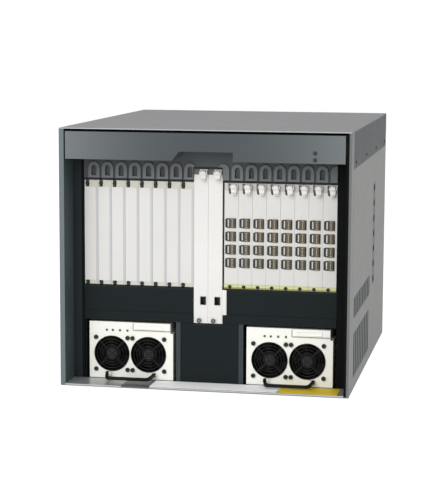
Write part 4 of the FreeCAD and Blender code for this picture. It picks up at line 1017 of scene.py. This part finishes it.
fan_middles = {}
for side in ("left", "right"):
    for letter, dx in zip("ab", SMALL_FAN_X):
        fan_middles["supply_rotor_%s_%s" % (side, letter)] = (supply_boxes[side][2] + dx, fan_z)
MODULE_SIDES = 26  # width of a fan module beyond its three ducts
module_boxes = {}
for level in ("lower", "upper"):
    low, high = [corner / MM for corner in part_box("fan_module_" + level)]
    module_boxes[level] = (low, high)
    for letter, share in zip("abc", (-1, 0, 1)):
        duct_x = share * (high.x - low.x - MODULE_SIDES) / 3
        fan_middles["fan_rotor_%s_%s" % (level, letter)] = (duct_x, (low.z + high.z) / 2)

small = fan("small_fan_left_a", "supply_rotor_left_a", SMALL_HUB_R, SMALL_TIP_R, BLADES, -1)
big = fan("big_fan_lower_a", "fan_rotor_lower_a", BIG_HUB_R, BIG_TIP_R, BLADES, 1)
for node, (x, z) in fan_middles.items():
    first = small if node.startswith("supply") else big
    start = "supply_rotor_left_a" if first is small else "fan_rotor_lower_a"
    if node != start:
        name = node.replace("supply_rotor", "small_fan").replace("fan_rotor", "big_fan")
        x0, z0 = fan_middles[start]
        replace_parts(another(first, name, (x - x0, 0, z - z0), node), node)

# ---- rear ----
# Folded and painted sheet. Two fan modules, each with three fans behind wire guards and a screw
# at every corner, stand over a power module with two inlets and a rocker switch.
rear_paint = powder_coat("rear_paint", "8b8c8c")
wear(rear_paint, "rear_panel", "power_module")
module_paint = powder_coat("module_paint", "959696")
PLATE, DUCT_R = 2, 56.1
BIG_GUARD_R, BIG_GUARD_REACH, BIG_GUARD_WIRE, EYE_R = 54.0, 76.0, 0.8, 3.3
MODULE_SCREW_IN, MODULE_SCREW_R = 9, 4.2
POWER_SCREW_IN, POWER_SCREW_R = 8, 3.4
plate_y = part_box("rear_panel")[1].y / MM + PLATE
duct_places = [place for node, place in fan_middles.items() if node.startswith("fan_rotor")]
for x, z in duct_places:
    duct_edge = module_paint.disc(x, z, DUCT_R) * (module_paint.y > plate_y - 1.98)
    module_paint.over(duct_edge, "4a4c4d")
wear(module_paint, "fan_module_lower", "fan_module_upper")
rear_guards = []
for x, z in duct_places[:3]:
    rear_guards.append(wire_guard("guard", x, plate_y + 1.6, z, BIG_GUARD_R, BIG_GUARD_WIRE, GUARD_RINGS,
                                  BIG_GUARD_REACH, -1, EYE_R))
rear_guards = fasten(weld(*rear_guards), screw_steel, "fan_module_lower")
low, high = module_boxes["lower"]
seats = [(x, plate_y - 0.1, z) for x in (low.x + MODULE_SCREW_IN, high.x - MODULE_SCREW_IN)
         for z in (low.z + MODULE_SCREW_IN, high.z - MODULE_SCREW_IN)]
heads = screws("module_screws", seats, (0, 5.5, 0), MODULE_SCREW_R)
module_screws = fasten(heads, screw_steel, "fan_module_lower")
rear_guards.name, module_screws.name = "rear_guards_lower", "module_screws_lower"
rise = (0, 0, module_boxes["upper"][0].z - low.z)
for made in (rear_guards, module_screws):
    another(made, made.name.replace("lower", "upper"), rise, "fan_module_upper")

low, high = [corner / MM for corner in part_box("power_module")]
seats = [(x, high.y - 0.1, z) for x in (low.x + POWER_SCREW_IN, 0, high.x - POWER_SCREW_IN)
         for z in (low.z + POWER_SCREW_IN, high.z - POWER_SCREW_IN)]
heads = screws("power_module_screws", seats, (0, 1.6, 0), POWER_SCREW_R)
fasten(heads, screw_steel, "chassis")

# ---- floor, light and camera ----
# A plain pale floor that keeps the object's shadow under a white surround, three soft lamps,
# and a long lens that looks at the front from the right and slightly from above.


def looked_at(graph):
    """1 for rays that come from the camera, off a gloss or through something clear."""
    rays = graph.tree.nodes.new("ShaderNodeLightPath")
    kinds = ("Is Camera Ray", "Is Glossy Ray", "Is Transmission Ray")
    camera_ray, glossy_ray, through_ray = [Wire(graph, rays.outputs[kind]) for kind in kinds]
    return (camera_ray + glossy_ray + through_ray) > 0.5


FLOOR_SIZE, FLOOR_GREY, FLOOR_GLOW, GLOW_SHARE = 12.0, 0.86, 1.25, 0.72
put_down()
bpy.ops.mesh.primitive_plane_add(size=FLOOR_SIZE, location=(0, 0, 0))
floor = bpy.context.object
floor.name = "floor"
floor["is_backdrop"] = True
plain = Paint("floor_paint", 0.9)
plain.shader.inputs["Base Color"].default_value = (FLOOR_GREY, FLOOR_GREY, FLOOR_GREY, 1)
glow = plain.node("ShaderNodeEmission", {}, {"Strength": FLOOR_GLOW})
surface = Wire(plain, plain.shader.outputs[0])
blend = plain.node("ShaderNodeMixShader", {}, {0: looked_at(plain) * GLOW_SHARE, 1: surface, 2: glow})
plain.tree.links.new(blend.socket, plain.tree.nodes["Material Output"].inputs[0])
floor.data.materials.append(plain.material)

# The surround is white where it is looked at, and lights the object a little less.
SKY_LIGHT, SKY_SEEN = 0.715, 1.0
scene = bpy.context.scene
scene.view_settings.view_transform = "Standard"
world = bpy.data.worlds.new("studio")
scene.world = world
world.use_nodes = True
sky = Graph(world.node_tree)
background = sky.tree.nodes["Background"]
background.inputs["Color"].default_value = (1, 1, 1, 1)
level = sky.node("ShaderNodeMix", {}, {0: looked_at(sky), 2: SKY_LIGHT, 3: SKY_SEEN})
sky.tree.links.new(level.socket, background.inputs["Strength"])


def lamp(name, place, aim, size, power):
    """A square lamp that looks at aim. Places and size in metres, power in watts."""
    bpy.ops.object.light_add(type="AREA", location=place)
    made = bpy.context.object
    made.name = name
    made.data.size = size
    made.data.energy = power
    made.rotation_euler = (Vector(aim) - Vector(place)).to_track_quat("-Z", "Y").to_euler()


lamp("key", (-0.9, -2.65, 1.7), (0, 0, 0.15), 2.0, 46)
lamp("side", (3.0, -0.6, 1.2), (0, 0, 0.2), 2.0, 12)
lamp("top", (0.0, 0.0, 3.0), (0, 0, 0.3), 2.0, 3)

EYE = Vector((484, -2645, 551)) * MM
TURN, TILT, ROLL = 10.79, 7.85, 0.29  # degrees
FOCAL, SENSOR = 117.36, 36.0
bpy.ops.object.camera_add(location=EYE)
camera = bpy.context.object
camera.name = "camera"
camera.data.lens = FOCAL
camera.data.sensor_width = SENSOR
look = (Matrix.Rotation(math.radians(TURN), 4, "Z") @ Matrix.Rotation(math.radians(90 - TILT), 4, "X")
        @ Matrix.Rotation(math.radians(ROLL), 4, "Z"))
camera.matrix_world = Matrix.Translation(EYE) @ look
scene.camera = camera

low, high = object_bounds()
